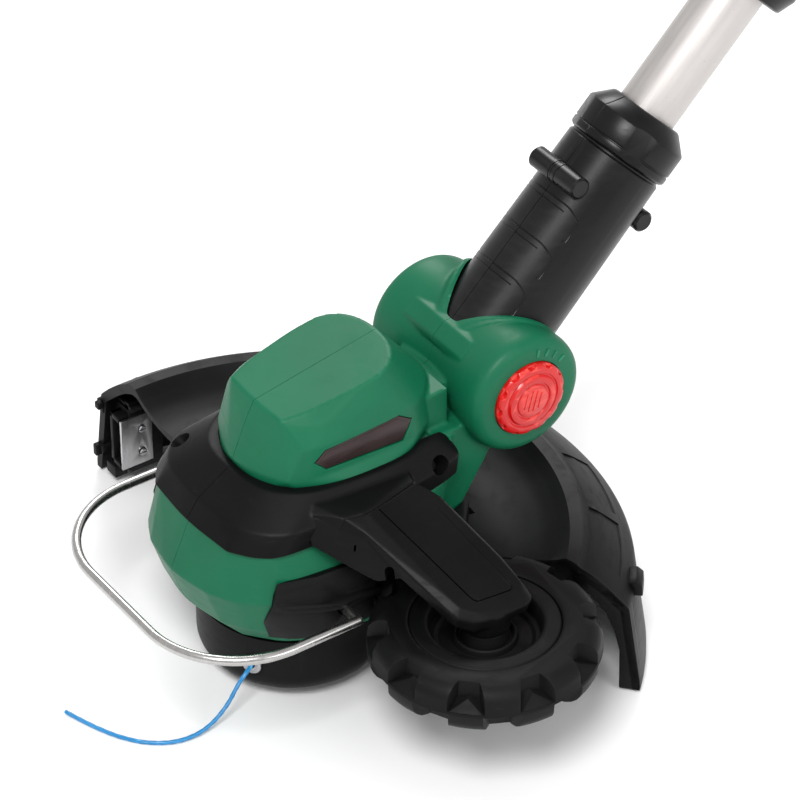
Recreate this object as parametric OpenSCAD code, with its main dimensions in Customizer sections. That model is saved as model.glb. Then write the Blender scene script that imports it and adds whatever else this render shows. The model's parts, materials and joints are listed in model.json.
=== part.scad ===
// Cordless string trimmer with a tilting head, edging wheel and telescopic shaft.
// Ground plane at z = 0 under the spool, +Y towards the operator, +X the wheel side.

/* [Shaft] */
// Lean of the shaft from the vertical, in degrees
shaft_lean = 45; // [42:1:48]
// Height of the head's tilt axis above the ground
pivot_z = 107.5; // [106:0.5:112]
// Distance of the tilt axis behind the spool axis
pivot_y = 88; // [86:0.5:90]
// Outer radius of the lower tube
tube_r = 12.5; // [12:0.1:13]
// Wall thickness of both tubes
tube_wall = 1.2; // [1:0.1:1.6]
// Radius of the plastic sleeve at its upper end
sleeve_r = 21; // [20:0.25:21.5]
// Place of the sleeve's upper end along the shaft
sleeve_end = 95.5; // [90:0.5:100]
// Length of each clamp nut
nut_len = 21; // [19:0.5:22]
// Travel of the telescopic tube
telescope = 180; // [120:10:190]

/* [Head] */
// Radius of the spool cap
spool_r = 38.8; // [36:0.2:40]
// Height of the spool cap
spool_h = 31; // [29:0.5:32]
// Radius of the motor can
motor_r = 18; // [16:0.5:18.5]
// Half length of the tilt barrel
barrel_half = 37; // [36:0.5:38]
// Radius of the tilt release button
button_r = 16; // [14:0.5:16.5]

/* [Wheel] */
// Outer radius of the edging wheel
wheel_r = 45.9; // [44:0.1:47.5]
// Thickness of the edging wheel
wheel_h = 21; // [19:0.5:22]
// Number of tread notches on each face
wheel_notches = 10; // [8:1:16]

/* [Guard] */
// Radius of the debris guard's upper rim
guard_r = 136; // [134:0.5:138]
// Height of the debris guard's upper rim
guard_rim_z = 42; // [40:0.5:44]
// Half width of the wire plant guard
wire_half = 61.5; // [61:0.5:63]
// Radius of the wire
wire_r = 2; // [1.5:0.1:2.2]

/* [Hidden] */
$fn = 72;
far = 400;
fit = 0.06;

// places along the shaft, counted from the tilt axis
nut_at = sleeve_end + 0.8;
tube_from = 40;
upper_nut_at = 178;
upper_tube_from = 190;
tube_to = upper_tube_from + 50 + telescope;

upper_tube_to = 540;
upper_tube_r = tube_r + 2.3;
handle_from = 486;
grip_to = 690;
bay_to = 752;
aux_at = 330;

// heights in the head
housing_bottom = 35;
band_bottom = 83.5;
core_top = 96;
dome_front_z = 127.9;
dome_slope = 0.18;
motor_bottom = 58;

// wheel place
wheel_x = 91.8;
wheel_y = 28.4;
notch_turn = -9;
wheel_top = 60.5;
wheel_bottom = wheel_top - wheel_h;
axle_r = 4;

green = [0.18, 0.49, 0.36];
black = [0.12, 0.12, 0.12];
steel = [0.72, 0.72, 0.73];
red = [0.9, 0.12, 0.1];
blue = [0.12, 0.56, 0.82];
copper = [0.72, 0.45, 0.25];

// ---------- helpers ----------

// moves children into the shaft's frame: z runs up the shaft from the tilt axis
module on_shaft(at = 0) {
    translate([0, pivot_y, pivot_z]) rotate([-shaft_lean, 0, 0]) translate([0, 0, at]) children();
}

// a cylinder along x
module x_rod(x0, x1, r) {
    translate([x0, 0, 0]) rotate([0, 90, 0]) cylinder(h = x1 - x0, r = r);
}

// a pipe along z
module pipe(h, outer, inner) {
    difference() {
        cylinder(h = h, r = outer);
        translate([0, 0, -1]) cylinder(h = h + 2, r = inner);
    }
}

// keeps the +x half when side is 1, and the -x half when it is -1
module half(side) {
    intersection() {
        children();
        translate([side > 0 ? 0 : -far, -far, -far]) cube([far, 4 * far, 4 * far]);
    }
}

// points of the +x half, front to back, closed by their mirror image
function mirrored(pts) = concat(
    pts, [for (i = [len(pts) - 1:-1:0]) if (pts[i][0] > 0) [-pts[i][0], pts[i][1]]]);

// a thin slab of a symmetric outline
module slab(pts, z) {
    translate([0, 0, z]) linear_extrude(0.1) polygon(mirrored(pts));
}

// a tube swept along a list of points, closed at both ends
function unit(v) = v / norm(v);
function tangent(p, i) =
    unit(p[min(i + 1, len(p) - 1)] - p[max(i - 1, 0)]);
function side_of(t) = unit(cross(t, abs(t[2]) > 0.9 ? [0, 1, 0] : [0, 0, 1]));
module swept_tube(p, r, sides) {
    rings = [for (i = [0:len(p) - 1])
        let (t = tangent(p, i), a = side_of(t), b = cross(t, a))
        for (k = [0:sides - 1]) p[i] + r * (a * cos(360 * k / sides) + b * sin(360 * k / sides))];
    walls = [for (i = [0:len(p) - 2]) for (k = [0:sides - 1])
        let (n = (k + 1) % sides)
        [i * sides + k, (i + 1) * sides + k, (i + 1) * sides + n, i * sides + n]];
    first = [for (k = [0:sides - 1]) k];
    last = [for (k = [sides - 1:-1:0]) (len(p) - 1) * sides + k];
    polyhedron(points = rings, faces = concat([first, last], walls));
}

// a closed coil spring along z
module coil_spring(r, wire, height, turns) {
    steps = turns * 14;
    swept_tube([for (i = [0:steps]) [r * cos(360 * turns * i / steps),
        r * sin(360 * turns * i / steps), wire + (height - 2 * wire) * i / steps]], wire, 6);
}

// ---------- head ----------

// outlines of the lower housing at its levels, +x half
skirt_low = [[0, -41], [21, -37], [35, -24], [41, -4], [41, 26], [30, 44], [0, 50]];
skirt_edge = [[0, -50.3], [21, -47], [34, -38], [44, -20], [43, 20], [34, 44], [0, 55]];
skirt_wide = [[0, -56.2], [20, -53], [33, -45.5], [45, -30], [49, -14], [46, 8],
    [42, 26], [34, 48], [0, 58]];
skirt_top = [[0, -47], [24, -45], [35, -37.5], [39, -28], [40, 20], [34, 52], [0, 60]];
// outline of the core inside the band
core = [[0, -30], [20, -28], [29, -18], [31, 0], [31, 40], [26, 60], [0, 62]];
core_room = core * 1.006;
// outlines of the dome, from its lip to its flat top
dome_lip = [[0, -24.5], [14.9, -22.4], [26, -13.2], [31, -2], [34, 12.3], [33.6, 27], [28.5, 40],
    [14, 57], [0, 60]];
dome_rim = [[0, -26.6], [12, -23.6], [24.6, -17.4], [28.6, -7], [29.8, 5], [30, 20], [29.8, 34],
    [27.5, 43], [18, 54], [0, 62]];
dome_shoulder = [[0, -21], [14, -18.2], [26.6, -11.3], [28.4, -5], [28.9, 10], [28.8, 28], [28, 37],
    [23, 47], [12, 56], [0, 58]];
dome_swell = [[0, -17.2], [19.6, -14.5], [24.6, -4], [26.4, 10], [26.8, 24], [25, 35], [17, 44], [0, 48]];
dome_flat = [[0, -16.2], [17.5, -15.2], [20.5, -4], [22, 8], [23, 21], [21.4, 31], [13.4, 38.5], [0, 41]];

module dome() {
    hull() {
        slab(dome_lip, 99);
        slab(dome_rim, 104.5);
    }
    hull() {
        slab(dome_rim, 104);
        slab(dome_shoulder, 118);
        slab(dome_swell, 126);
        multmatrix([[1, 0, 0, 0], [0, 1, 0, 0], [0, dome_slope, 1, 17 * dome_slope], [0, 0, 0, 1]])
            slab(dome_flat, dome_front_z);
    }
}

module lower_housing() {
    hull() {
        slab(skirt_low, housing_bottom);
        slab(skirt_edge, 46);
        slab(skirt_wide, 63);
        slab(skirt_top, band_bottom + 0.4);
    }
    hull() {
        slab(core, band_bottom);
        slab(core, core_top - 0.1);
    }
    hull() {
        slab(dome_lip * 0.94, core_top - 1);
        slab(dome_lip * 0.94, 100);
    }
}

// block that carries the barrel behind the dome, and the leg under it
module neck_block() {
    hull() {
        translate([-22, 40, 84]) cube([44, 19.5, 29.5]);
        translate([-22, 59, 84]) cube([44, 0.5, 31]);
    }
    translate([-15, 40, 84]) cube([30, 40, 28]);
    hull() {
        translate([-27, 50, 96]) cube([54, 34, 2]);
        translate([-28, 46, 78]) cube([56, 28, 2]);
        translate([-28, 40, 54]) cube([56, 19, 2]);
    }
}

// radius of the barrel at a distance from its middle: a soft waist and rounded ends
function barrel_at(x) = 22.6 + 3.4 * pow(sin(min(abs(x), 30) * 3), 2);
module barrel_body() {
    translate([0, pivot_y, pivot_z]) rotate([0, 90, 0])
        rotate_extrude() polygon(concat(
            [[0, -barrel_half], [21.5, -barrel_half], [24, -36], [25.6, -33.5]],
            [for (i = [-10:10]) [barrel_at(3 * i), 3 * i]],
            [[25.6, 33.5], [24, 36], [21.5, barrel_half], [0, barrel_half]]));
    intersection() {
        on_shaft() cylinder(h = 40, r = 24.9);
        translate([0, pivot_y, pivot_z]) rotate([0, 90, 0])
            rotate_extrude() polygon([[0, -27], [26, -27], [30.4, -22], [30.8, -18], [27, -11], [24.2, -5],
                [23.6, 0], [24.2, 5], [27, 11], [30.8, 18], [30.4, 22], [26, 27], [0, 27]]);
    }
}

module barrel_rib() {
    translate([0, pivot_y, pivot_z]) rotate([43, 0, 0]) translate([-21, 0, 22.4])
        x_rod(0, 42, 4.6);
}

// room that the sleeve's knuckle sweeps, from the rest angle down to level
module knuckle_room() {
    translate([0, pivot_y, pivot_z]) {
        x_rod(-23.6, 23.6, 19.4);
        rotate([-shaft_lean, 0, 0]) cylinder(h = 60, r = 23);
        rotate([-shaft_lean - 45, 0, 0]) cylinder(h = 60, r = 23);
        translate([-23, 0, 0]) rotate([90, 0, 90]) linear_extrude(46) difference() {
            circle(60);
            rotate(shaft_lean) translate([-70, 0]) square([140, 80]);
            translate([-70, -70]) square([70, 140]);
            translate([-70, -90]) square([140, 90]);
        }
    }
}

// bores on the tilt axis: trunnion bearing and the pocket of the button
module barrel_bores(side) {
    translate([0, pivot_y, pivot_z]) {
        x_rod(-1, 31, 9 + fit);
        x_rod(side > 0 ? 30 : 33, 40, button_r + 0.4);
    }
}

module motor_room() {
    translate([0, 0, motor_bottom - 4]) cylinder(h = 66, r = motor_r + 0.3);
    translate([0, 0, housing_bottom - 1]) cylinder(h = 20, r = 33);
    translate([0, 0, 56]) pipe(7, 33, motor_r + 2.5);
    translate([0, 0, 66]) pipe(32, 27.5, motor_r + 2.5);
    translate([0, 0, 101]) pipe(16, 23, motor_r + 2.5);
}

module head_shell(side) {
    mirror([side > 0 ? 0 : 1, 0, 0]) half(1) difference() {
        union() {
            lower_housing();
            dome();
            neck_block();
            barrel_body();
            barrel_rib();
        }
        knuckle_room();
        barrel_bores(side);
        motor_room();
        if (side > 0) badge_room();
        screw_holes(side);
    }
}

// shallow seat of the badge on the left flank of the dome
module badge_room() {
    badge_place() translate([-24, -6.6, -1.6]) cube([48, 13.4, 12]);
}
module badge_place() {
    translate([29.3, 15, 111.5]) rotate([0, 84.3, 0]) rotate([0, 0, 90]) children();
}

module badge_plate() {
    color([0.24, 0.17, 0.18]) badge_place() translate([0, 0, -1.5]) linear_extrude(1.2)
        polygon([[-21.9, 0], [-17.4, 3.9], [16.8, 5.8], [22.7, 1.9], [18, -5.6], [-17.2, -4.2]]);
}

module housing_left() { color(green) head_shell(1); }
module housing_right() { color(green) head_shell(-1); }

// screws that draw the two halves together, entered from the right side
screw_r = 1.7;
screw_spots = [[-36, 48], [44, 52], [53, 91], [64, 72]];
module screw_holes(side) {
    for (s = screw_spots) translate([0, s[0], s[1]]) {
        x_rod(-1, side > 0 ? 10 : 20, screw_r);
        if (side < 0) x_rod(17, 70, 3.4);
    }
}
module housing_screws() {
    color(steel) for (s = screw_spots) translate([0, s[0], s[1]]) {
        x_rod(-19, 10, screw_r);
        x_rod(-19.8, -17, 3.1);
    }
}

// ---------- band ----------

band_low = [[0, -49], [26, -47], [36, -39.5], [41, -29], [42, 0], [42, 20], [37, 50], [30, 56], [0, 56]];
band_fold = [[0, -42.8], [15, -42], [27, -39], [37, -30.5], [41, -18], [42, 20], [37, 50], [30, 58],
    [0, 58]];
band_up = [[0, -28.5], [14, -27.5], [24, -22], [32, -10], [35, 8], [35, 30], [30, 48], [22, 54], [0, 54]];

module band_outer() {
    hull() {
        slab(band_low, band_bottom + 0.6);
        slab(band_fold, 92);
        slab(band_up, 101);
    }
}
// the band's deck swells out to the arm's root on the wheel side
module arm_deck() {
    corner_hull([[32, -14, 98.4], [47.8, -7, 96.8], [50.2, 2.5, 97], [44.4, 28.2, 96.8], [34, 31, 97],
        [33.2, 10, 98.2], [35.2, -17, 95.6], [47.4, -9.4, 92], [36, -12, 88], [46, -6, 87.8],
        [48, 4, 88], [43.6, 30, 88], [36, 34, 88]]);
}
module band(side) {
    half(side) difference() {
        union() {
            band_outer();
            if (side > 0) arm_deck();
        }
        translate([0, 0, 70]) linear_extrude(core_top + 0.2 - 70) polygon(mirrored(core_room));
        translate([0, 0, 90]) linear_extrude(20) polygon(mirrored(dome_lip * 0.955));
        hull() {
            slab(dome_lip * 1.01, 98.6);
            slab(dome_rim * 1.015, 105);
        }
        translate([-28.2, 40, 80]) cube([56.4, 40, 40]);
        translate([0, pivot_y, pivot_z]) x_rod(-60, 60, 28);
    }
}
module band_left() { color(black) band(1); }
module band_right() { color(black) band(-1); }

// ---------- arm and wheel ----------

// a hull of small blocks at the listed corners
module corner_hull(pts) {
    hull() for (p = pts) translate(p) cube(0.2);
}

module wheel_arm() {
    color(black) difference() {
        union() {
            corner_hull([[50.4, 2.5, 97], [44.4, 28.2, 96.8], [51, 33.2, 93.2], [80, 42, 78.2],
                [92, 44.5, 72.2], [95.5, 43, 70.6], [98, 38, 70], [98, 19, 72.2], [94.6, 14.5, 74.4],
                [52.7, -3.8, 94.2], [61.6, 0.9, 89.4], [83.5, 7.4, 78], [96.6, 12.1, 71.2],
                [99.6, 17.1, 69.2], [101.2, 26, 68.2], [100.4, 41.7, 67.2], [96.9, 46.6, 67.1],
                [80, 44.6, 75.4], [51, 36, 90.4], [71.7, 2.5, 79], [83.8, 7.2, 72.6],
                [95.6, 11.3, 66.4], [99.5, 17.2, 64], [101.4, 26, 64], [100.6, 41.4, 64],
                [96.8, 46.6, 64], [80, 44.6, 68], [50, 36, 80], [44, 20, 80], [50, 6, 80]]);
            corner_hull([[35.5, -17.5, 95.6], [47.6, -9.6, 92], [52.5, -3.7, 94], [61.6, 1, 89.4],
                [72, 2.3, 79.3], [67.4, -3.4, 77.5], [66.2, -4.9, 77], [55.4, -10.7, 82],
                [42.6, -19, 86], [41.2, -17, 83.6], [40, -4, 84], [44, 12, 84], [60, 12, 78],
                [72, 12, 76], [46, 8, 92]]);
            translate([wheel_x, wheel_y, wheel_top - 2]) cylinder(h = 10, r = 10);
        }
        translate([wheel_x, wheel_y, 50]) cylinder(h = 21, r = axle_r);
        band_outer();
        arm_deck();
        housing_clearance();
        translate([68, 0.1, 81]) rotate([0, 59, -47.8]) translate([0, 0, -8]) hull() {
            cylinder(h = 14, r = 1.9);
            translate([10, 2.7, 0]) cylinder(h = 14, r = 1.9);
        }
    }
}

module wheel_axle() {
    color(steel) translate([wheel_x, wheel_y, 0]) {
        translate([0, 0, wheel_bottom + 5]) cylinder(h = 71 - wheel_bottom - 5, r = axle_r);
        translate([0, 0, wheel_bottom + 2.5]) cylinder(h = 2.5, r = 8);
    }
}

module wheel_hub() {
    color(black) translate([wheel_x, wheel_y, wheel_bottom]) difference() {
        union() {
            translate([0, 0, 5]) cylinder(h = 13.4, r = 9.2);
            translate([0, 0, 7]) cylinder(h = 5, r = 24);
            translate([0, 0, 7]) cylinder(h = 7.6, r = 12.6);
            translate([0, 0, 3]) pipe(wheel_h - 3.6, 29.8, 21.6);
        }
        translate([0, 0, 4]) cylinder(h = 20, r = axle_r + fit);
        translate([0, 0, -1]) cylinder(h = 6.3, r = 8.6);
    }
}

// one tread notch, cut down from a face of the tyre
module tread_notch() {
    difference() {
        translate([0, 0, wheel_h - 8.6]) linear_extrude(12)
            polygon([[wheel_r - 8, -4], [wheel_r + 3, -7.6], [wheel_r + 3, 7.6], [wheel_r - 8, 4]]);
        translate([0, 0, wheel_h - 8.7]) rotate([90, 0, 0]) linear_extrude(16, center = true)
            polygon([[wheel_r - 9, 0], [wheel_r - 1, 0], [wheel_r - 4.8, 4], [wheel_r - 9, 4]]);
    }
}

module wheel_tyre() {
    color(black) translate([wheel_x, wheel_y, wheel_bottom]) difference() {
        rotate_extrude() polygon([[29.9, 1], [31, 0], [38.6, 0], [wheel_r - 1, 4.6], [wheel_r, 8],
            [wheel_r, 12.5], [wheel_r - 1, 16.4], [38.6, wheel_h], [31, wheel_h], [29.9, wheel_h - 1]]);
        for (i = [0:wheel_notches - 1]) rotate(notch_turn + i * 360 / wheel_notches) tread_notch();
        for (i = [0:wheel_notches - 1]) rotate(notch_turn + (i + 0.5) * 360 / wheel_notches)
            translate([0, 0, wheel_h]) mirror([0, 0, 1]) tread_notch();
    }
}

// ---------- guards and blade ----------

guard_from = 42;
guard_to = 182;

// the skirt of the guard, swept round the spool axis
module guard_sweep() {
    rotate(guard_from) rotate_extrude(angle = guard_to - guard_from, $fn = 120)
        polygon([[46, 60], [64, 54], [84, 51.5], [100, 54.5], [109, 59.4], [114, 60], [120, 57],
            [guard_r - 8, guard_rim_z + 8], [guard_r, guard_rim_z], [guard_r + 6, 4], [guard_r + 6, 1],
            [guard_r + 2.6, 1], [guard_r - 3.4, guard_rim_z - 2], [guard_r - 10, guard_rim_z + 5],
            [118, 54], [110, 56.4], [100, 51.5], [84, 48.5], [64, 51], [46, 57]]);
}
// wall of the guard round the wheel, below the skirt's top
module guard_wall() {
    intersection() {
        rotate(guard_from) rotate_extrude(angle = 40, $fn = 120)
            polygon([[60, 40], [60, 52], [84, 49], [100, 52], [110, 57], [118, 54.5], [130, 45], [130, 40]]);
        translate([wheel_x, wheel_y, 0]) cylinder(h = 90, r1 = wheel_r + 6.6, r2 = wheel_r + 15.6);
    }
}
module debris_guard() {
    color(black) difference() {
        union() {
            difference() {
                union() {
                    guard_sweep();
                    guard_wall();
                }
                translate([wheel_x, wheel_y, -1]) cylinder(h = 91, r1 = wheel_r + 4, r2 = wheel_r + 13);
            }
            guard_collar(1);
            guard_collar(-1);
            blade_box();
        }
        guard_room();
        blade_holes(1.6);
    }
}

// the collar clasps the lower housing on each flank, with a boss for the wire's pivot
collar_corners = [[33, -37.5, 52], [36, -38, 45], [46, -29, 45], [51.4, -20, 46], [52, 46, 46],
    [26, 68, 46],
    [35, -33.5, 70], [42, -24, 70.4], [46.4, -8, 70.4], [46.4, 46, 70.4], [26, 66, 70.4], [50, -24, 56],
    [52, -10, 56], [52, 46, 56], [26, 68, 56]];
module guard_collar(side) {
    difference() {
        hull() for (p = collar_corners) translate([side * p[0], p[1], p[2]]) cube(0.2, center = true);
        translate([wheel_x, wheel_y, 0]) cylinder(h = 90, r = wheel_r + 1.1);
    }
    translate([0, wire_y, wire_z]) x_rod(side > 0 ? 45 : -57, side > 0 ? 57 : -45, 5);
}

// room for the lower housing
module housing_clearance() {
    hull() {
        slab(skirt_low * 1.012, 30);
        slab(skirt_edge * 1.012, 46);
        slab(skirt_wide * 1.012, 63);
        slab(skirt_top * 1.012, 86);
    }
}
// room in the guard for the housing, its leg and the wire's pivots
module guard_room() {
    housing_clearance();
    translate([-28.6, 30, 44]) cube([57.2, 39, 50]);
    for (s = [-1, 1]) translate([0, wire_y, wire_z])
        x_rod(s > 0 ? 48 : -66, s > 0 ? 66 : -48, wire_r + 0.1);
}

// end of the guard on the far side: a wall that carries the cutter blade, and its ribs
module blade_box() {
    translate([-127, 0.8, 6]) cube([3.4, 16, 36]);
    translate([-138, 0.8, 8]) cube([12, 2.4, 32]);
    translate([-138, 12, 8]) cube([12, 2.4, 34]);
    translate([-136, 0.8, 38]) cube([14, 14, 3]);
}
module blade_holes(r) {
    for (z = [16, 28]) translate([0, 6, z]) x_rod(-130, -110, r);
}

module cutter_blade() {
    color(steel) difference() {
        translate([-123.6, -4, 10]) cube([1.3, 15, 25]);
        blade_holes(1.7);
    }
}

module blade_screws() {
    color(steel) for (z = [16, 28]) translate([0, 6, z]) {
        x_rod(-122.3, -121, 2.8);
        x_rod(-126.4, -121, 1.5);
    }
}

wire_y = -10;
wire_z = 57;
wire_front = -79.5;
wire_corner = 40;
module wire_guard() {
    color(steel) {
        translate([0, 0, wire_z]) for (s = [-1, 1]) {
            translate([s * wire_half, wire_y, 0]) rotate([90, 0, 0])
                cylinder(h = wire_y - wire_front - wire_corner, r = wire_r);
            translate([s * (wire_half - wire_corner), wire_front + wire_corner, 0])
                rotate(s > 0 ? 270 : 180) rotate_extrude(angle = 90)
                    translate([wire_corner, 0]) circle(wire_r, $fn = 32);
            translate([s * wire_half, wire_y, 0]) sphere(wire_r);
            translate([0, wire_y, 0]) x_rod(s > 0 ? 49 : -wire_half, s > 0 ? wire_half : -49, wire_r);
        }
        translate([0, wire_front, wire_z]) x_rod(wire_corner - wire_half, wire_half - wire_corner, wire_r);
    }
}

// ---------- motor and spool ----------

module motor_can() {
    color(steel) translate([0, 0, motor_bottom]) difference() {
        cylinder(h = 56, r = motor_r);
        translate([0, 0, -1]) cylinder(h = 54, r = motor_r - 1.2);
        cylinder(h = 80, r = 4.5);
    }
}
module motor_end_cap() {
    color(black) translate([0, 0, motor_bottom - 3]) difference() {
        cylinder(h = 3, r = motor_r - 0.5);
        translate([0, 0, -1]) cylinder(h = 8, r = 6);
    }
}
module motor_bearings() {
    color(steel) {
        translate([0, 0, motor_bottom - 3]) pipe(3, 6, 3 + fit);
        translate([0, 0, motor_bottom + 53.2]) pipe(2.6, 4.5, 3 + fit);
    }
}
module motor_shaft() {
    color(copper) {
        translate([0, 0, 24]) cylinder(h = motor_bottom + 57 - 24, r = 3);
        translate([0, 0, motor_bottom + 6]) pipe(38, 14, 3);
    }
}
module spool_hub() {
    color(black) difference() {
        union() {
            translate([0, 0, 24]) cylinder(h = 16, r = 8);
            translate([0, 0, spool_h - 2]) cylinder(h = 2.2, r = spool_r - 2.5);
        }
        translate([0, 0, 20]) cylinder(h = 30, r = 3);
    }
}
module spool_cap() {
    color(black) difference() {
        rotate_extrude() polygon(concat([[20.4, 2.5], [29, 2.5]],
            [for (a = [-80:10:0]) [29 + (spool_r - 29) * cos(a), 12.5 + 10 * sin(a)]],
            [[spool_r, spool_h], [spool_r - 2.4, spool_h], [spool_r - 2.4, 13], [28, 5], [20.4, 5]]));
        eyelet_place() cylinder(h = 20, r = 2.6);
    }
}
eyelet_turn = -57.7;
module eyelet_place() {
    rotate(eyelet_turn) translate([spool_r - 12, 0, 18]) rotate([0, 90, 0]) children();
}
module line_eyelet() {
    color(steel) eyelet_place() translate([0, 0, 9.5]) difference() {
        union() {
            cylinder(h = 4, r = 2.6);
            translate([0, 0, 2.6]) cylinder(h = 1.4, r = 4);
        }
        translate([0, 0, -1]) cylinder(h = 8, r = 1.3);
    }
}
module line_spool() {
    color(blue * 0.4) difference() {
        union() {
            translate([0, 0, 10]) cylinder(h = 1.6, r = 27);
            translate([0, 0, 10]) cylinder(h = 18, r = 12);
            translate([0, 0, 26.4]) cylinder(h = 1.6, r = 33);
        }
        translate([0, 0, 23.9]) cylinder(h = 10, r = 8);
        translate([0, 0, 0]) cylinder(h = 22, r = 9);
    }
}
module wound_line() {
    color(blue) translate([0, 0, 11.7]) pipe(14.6, 24, 12.06);
}
module bump_knob() {
    color(black) {
        rotate_extrude() polygon([[0, 0], [14, 0], [18, 1.5], [20, 4], [20, 4.8], [18, 4.8], [18, 6.2],
            [0, 6.2]]);
        translate([0, 0, 6.2]) pipe(1.6, 8, 6.8);
    }
}
module bump_spring() {
    color(steel) translate([0, 0, 6.3]) coil_spring(5, 0.5, 15.4, 5);
}

// ---------- cutting line ----------

line_r = 0.9;
line_route = [
    [20.9, -33, 18], [22.5, -35.6, 18], [23.6, -38.4, 16.9], [24, -41.2, 14.6], [25, -44.2, 12.2],
    [26, -47.4, 9.4], [26.8, -51, 6.8], [27.4, -54.8, 4.6], [27.8, -58.8, 3], [27.8, -62.8, 1.9],
    [27.4, -66.8, 1.3], [26.6, -70.6, 1], [25.2, -74.4, 0.9], [23.2, -78, 0.9], [20.6, -81.4, 0.9],
    [17.4, -84.6, 0.9], [13.6, -87.4, 0.9], [9.4, -90, 0.9], [4.8, -92.2, 0.9], [0, -94.2, 0.9],
    [-5, -96, 0.9], [-10, -97.6, 0.9], [-14, -98.8, 0.9]
];
module trimmer_line() {
    color(blue) swept_tube(line_route, line_r, 8);
}

// ---------- tilt button ----------

module tilt_button() {
    color(red) translate([0, pivot_y, pivot_z]) {
        difference() {
            x_rod(35.2, 39.6, button_r);
            for (a = [0:30:359]) rotate([a, 0, 0]) translate([0, button_r + 0.6, 0]) x_rod(38, 41, 2.2);
        }
        x_rod(39.6, 40.6, 11);
    }
}
module tilt_lock_gear() {
    color(steel) translate([33.2, pivot_y, pivot_z]) rotate([0, 90, 0]) difference() {
        cylinder(h = 2, r = 14);
        for (a = [0:15:359]) rotate(a) translate([14, 0, -1]) cylinder(h = 4, r = 1, $fn = 24);
        translate([0, 0, -1]) cylinder(h = 2.2, r = 7);
    }
}
module tilt_spring() {
    color(steel) translate([30, pivot_y, pivot_z]) rotate([0, 90, 0]) coil_spring(5.4, 0.5, 4.4, 3);
}
module pivot_cap() {
    color(green) translate([0, pivot_y, pivot_z]) {
        x_rod(-38.5, -33, button_r);
    }
}

// ---------- sleeve and nut ----------

module sleeve(side) {
    half(side) difference() {
        union() {
            on_shaft() cylinder(h = sleeve_end, r1 = 22.4, r2 = sleeve_r);
            on_shaft(78) translate([0, -sleeve_r - 0.5, 0]) x_rod(-14.5, 14.5, 4.5);
            on_shaft(78) translate([0, sleeve_r + 0.5, 0]) x_rod(-14.5, 14.5, 4.5);
            translate([0, pivot_y, pivot_z]) x_rod(-29.8, 29.8, 9);
            translate([0, pivot_y, pivot_z]) x_rod(-23.2, 23.2, 18.8);
        }
        on_shaft(tube_from - 16) cylinder(h = 120, r = 16.4);
        translate([0, pivot_y, pivot_z]) x_rod(-40, 40, 5.2);
        sleeve_screw_rows(1.5);
    }
}
sleeve_screw_at = [[34, 18.4], [78, 18.4], [34, -18.4], [78, -18.4]];
module sleeve_screw_rows(r) {
    for (s = sleeve_screw_at) on_shaft(s[0]) translate([0, s[1], 0]) x_rod(-8, 8, r);
}
module sleeve_left() { color(black) sleeve(1); }
module sleeve_right() { color(black) sleeve(-1); }
module sleeve_screws() { color(steel) sleeve_screw_rows(1.5); }

// a faceted nut with a tapered nose, bored for the tube and for the collet
module nut_body(nose_r) {
    difference() {
        intersection() {
            cylinder(h = nut_len, r = 22.8, $fn = 12);
            rotate_extrude() polygon([[0, 0], [21.2, 0], [22.2, 1], [22.2, nut_len - 7],
                [nose_r, nut_len], [0, nut_len]]);
        }
        translate([0, 0, -1]) cylinder(h = nut_len - 4, r = 17);
        translate([0, 0, -1]) cylinder(h = nut_len + 2, r = tube_r + 0.5);
    }
}
module clamp_nut() { color(black) on_shaft(nut_at) nut_body(15.4); }
// guide bush in the sleeve, with the collet's slit fingers inside the nut
module clamp_collet() {
    color(black * 1.5) on_shaft(tube_from) difference() {
        union() {
            cylinder(h = sleeve_end - tube_from, r = 16.3);
            translate([0, 0, sleeve_end - tube_from]) cylinder(h = 14, r1 = 16.3, r2 = 14.4);
        }
        translate([0, 0, -1]) cylinder(h = 100, r = tube_r + fit);
        for (a = [0:90:359]) rotate(a) translate([-0.8, 0, sleeve_end - tube_from]) cube([1.6, 30, 40]);
    }
}
module lower_tube() {
    color(steel) on_shaft(tube_from) pipe(tube_to - tube_from, tube_r, tube_r - tube_wall);
}

// ---------- upper tube ----------

module upper_nut() { color(black) on_shaft(upper_nut_at + nut_len) mirror([0, 0, 1]) nut_body(19); }
module upper_collet() {
    color(black * 1.5) on_shaft(upper_nut_at + 6) difference() {
        pipe(24, upper_tube_r + 1.9, upper_tube_r);
        for (a = [0:90:359]) rotate(a) translate([-0.8, 0, -1]) cube([1.6, 30, 8]);
    }
}
module upper_tube() {
    color(steel) on_shaft(upper_tube_from) pipe(upper_tube_to - upper_tube_from, upper_tube_r, tube_r + fit);
}

// ---------- rear handle ----------

// half profile of the handle: distance along the shaft, low side, high side, half width
module handle_body() {
    on_shaft() {
        hull() {
            translate([0, 0, handle_from]) cylinder(h = 2, r = 19, $fn = 32);
            translate([0, 4, 540]) cylinder(h = 8, r = 24, $fn = 32);
        }
        hull() {
            translate([0, 4, 540]) cylinder(h = 8, r = 24, $fn = 32);
            translate([0, -4, 572]) cylinder(h = 2, r = 17.5, $fn = 32);
        }
        hull() {
            translate([0, -4, 570]) cylinder(h = 2, r = 17.5, $fn = 32);
            translate([0, -4, grip_to]) cylinder(h = 2, r = 18.5, $fn = 32);
        }
        hull() {
            translate([0, -4, grip_to]) cylinder(h = 2, r = 18.5, $fn = 32);
            translate([-31, -27, 716]) cube([62, 76, bay_to - 716]);
        }
        hull() {
            translate([-9, 22, 528]) cube([18, 2, 24]);
            translate([-9, 60, 556]) cube([18, 10, 20]);
        }
        hull() {
            translate([-9, 60, 556]) cube([18, 10, 20]);
            translate([-11, 47, 716]) cube([22, 10, 20]);
        }
    }
}

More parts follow.
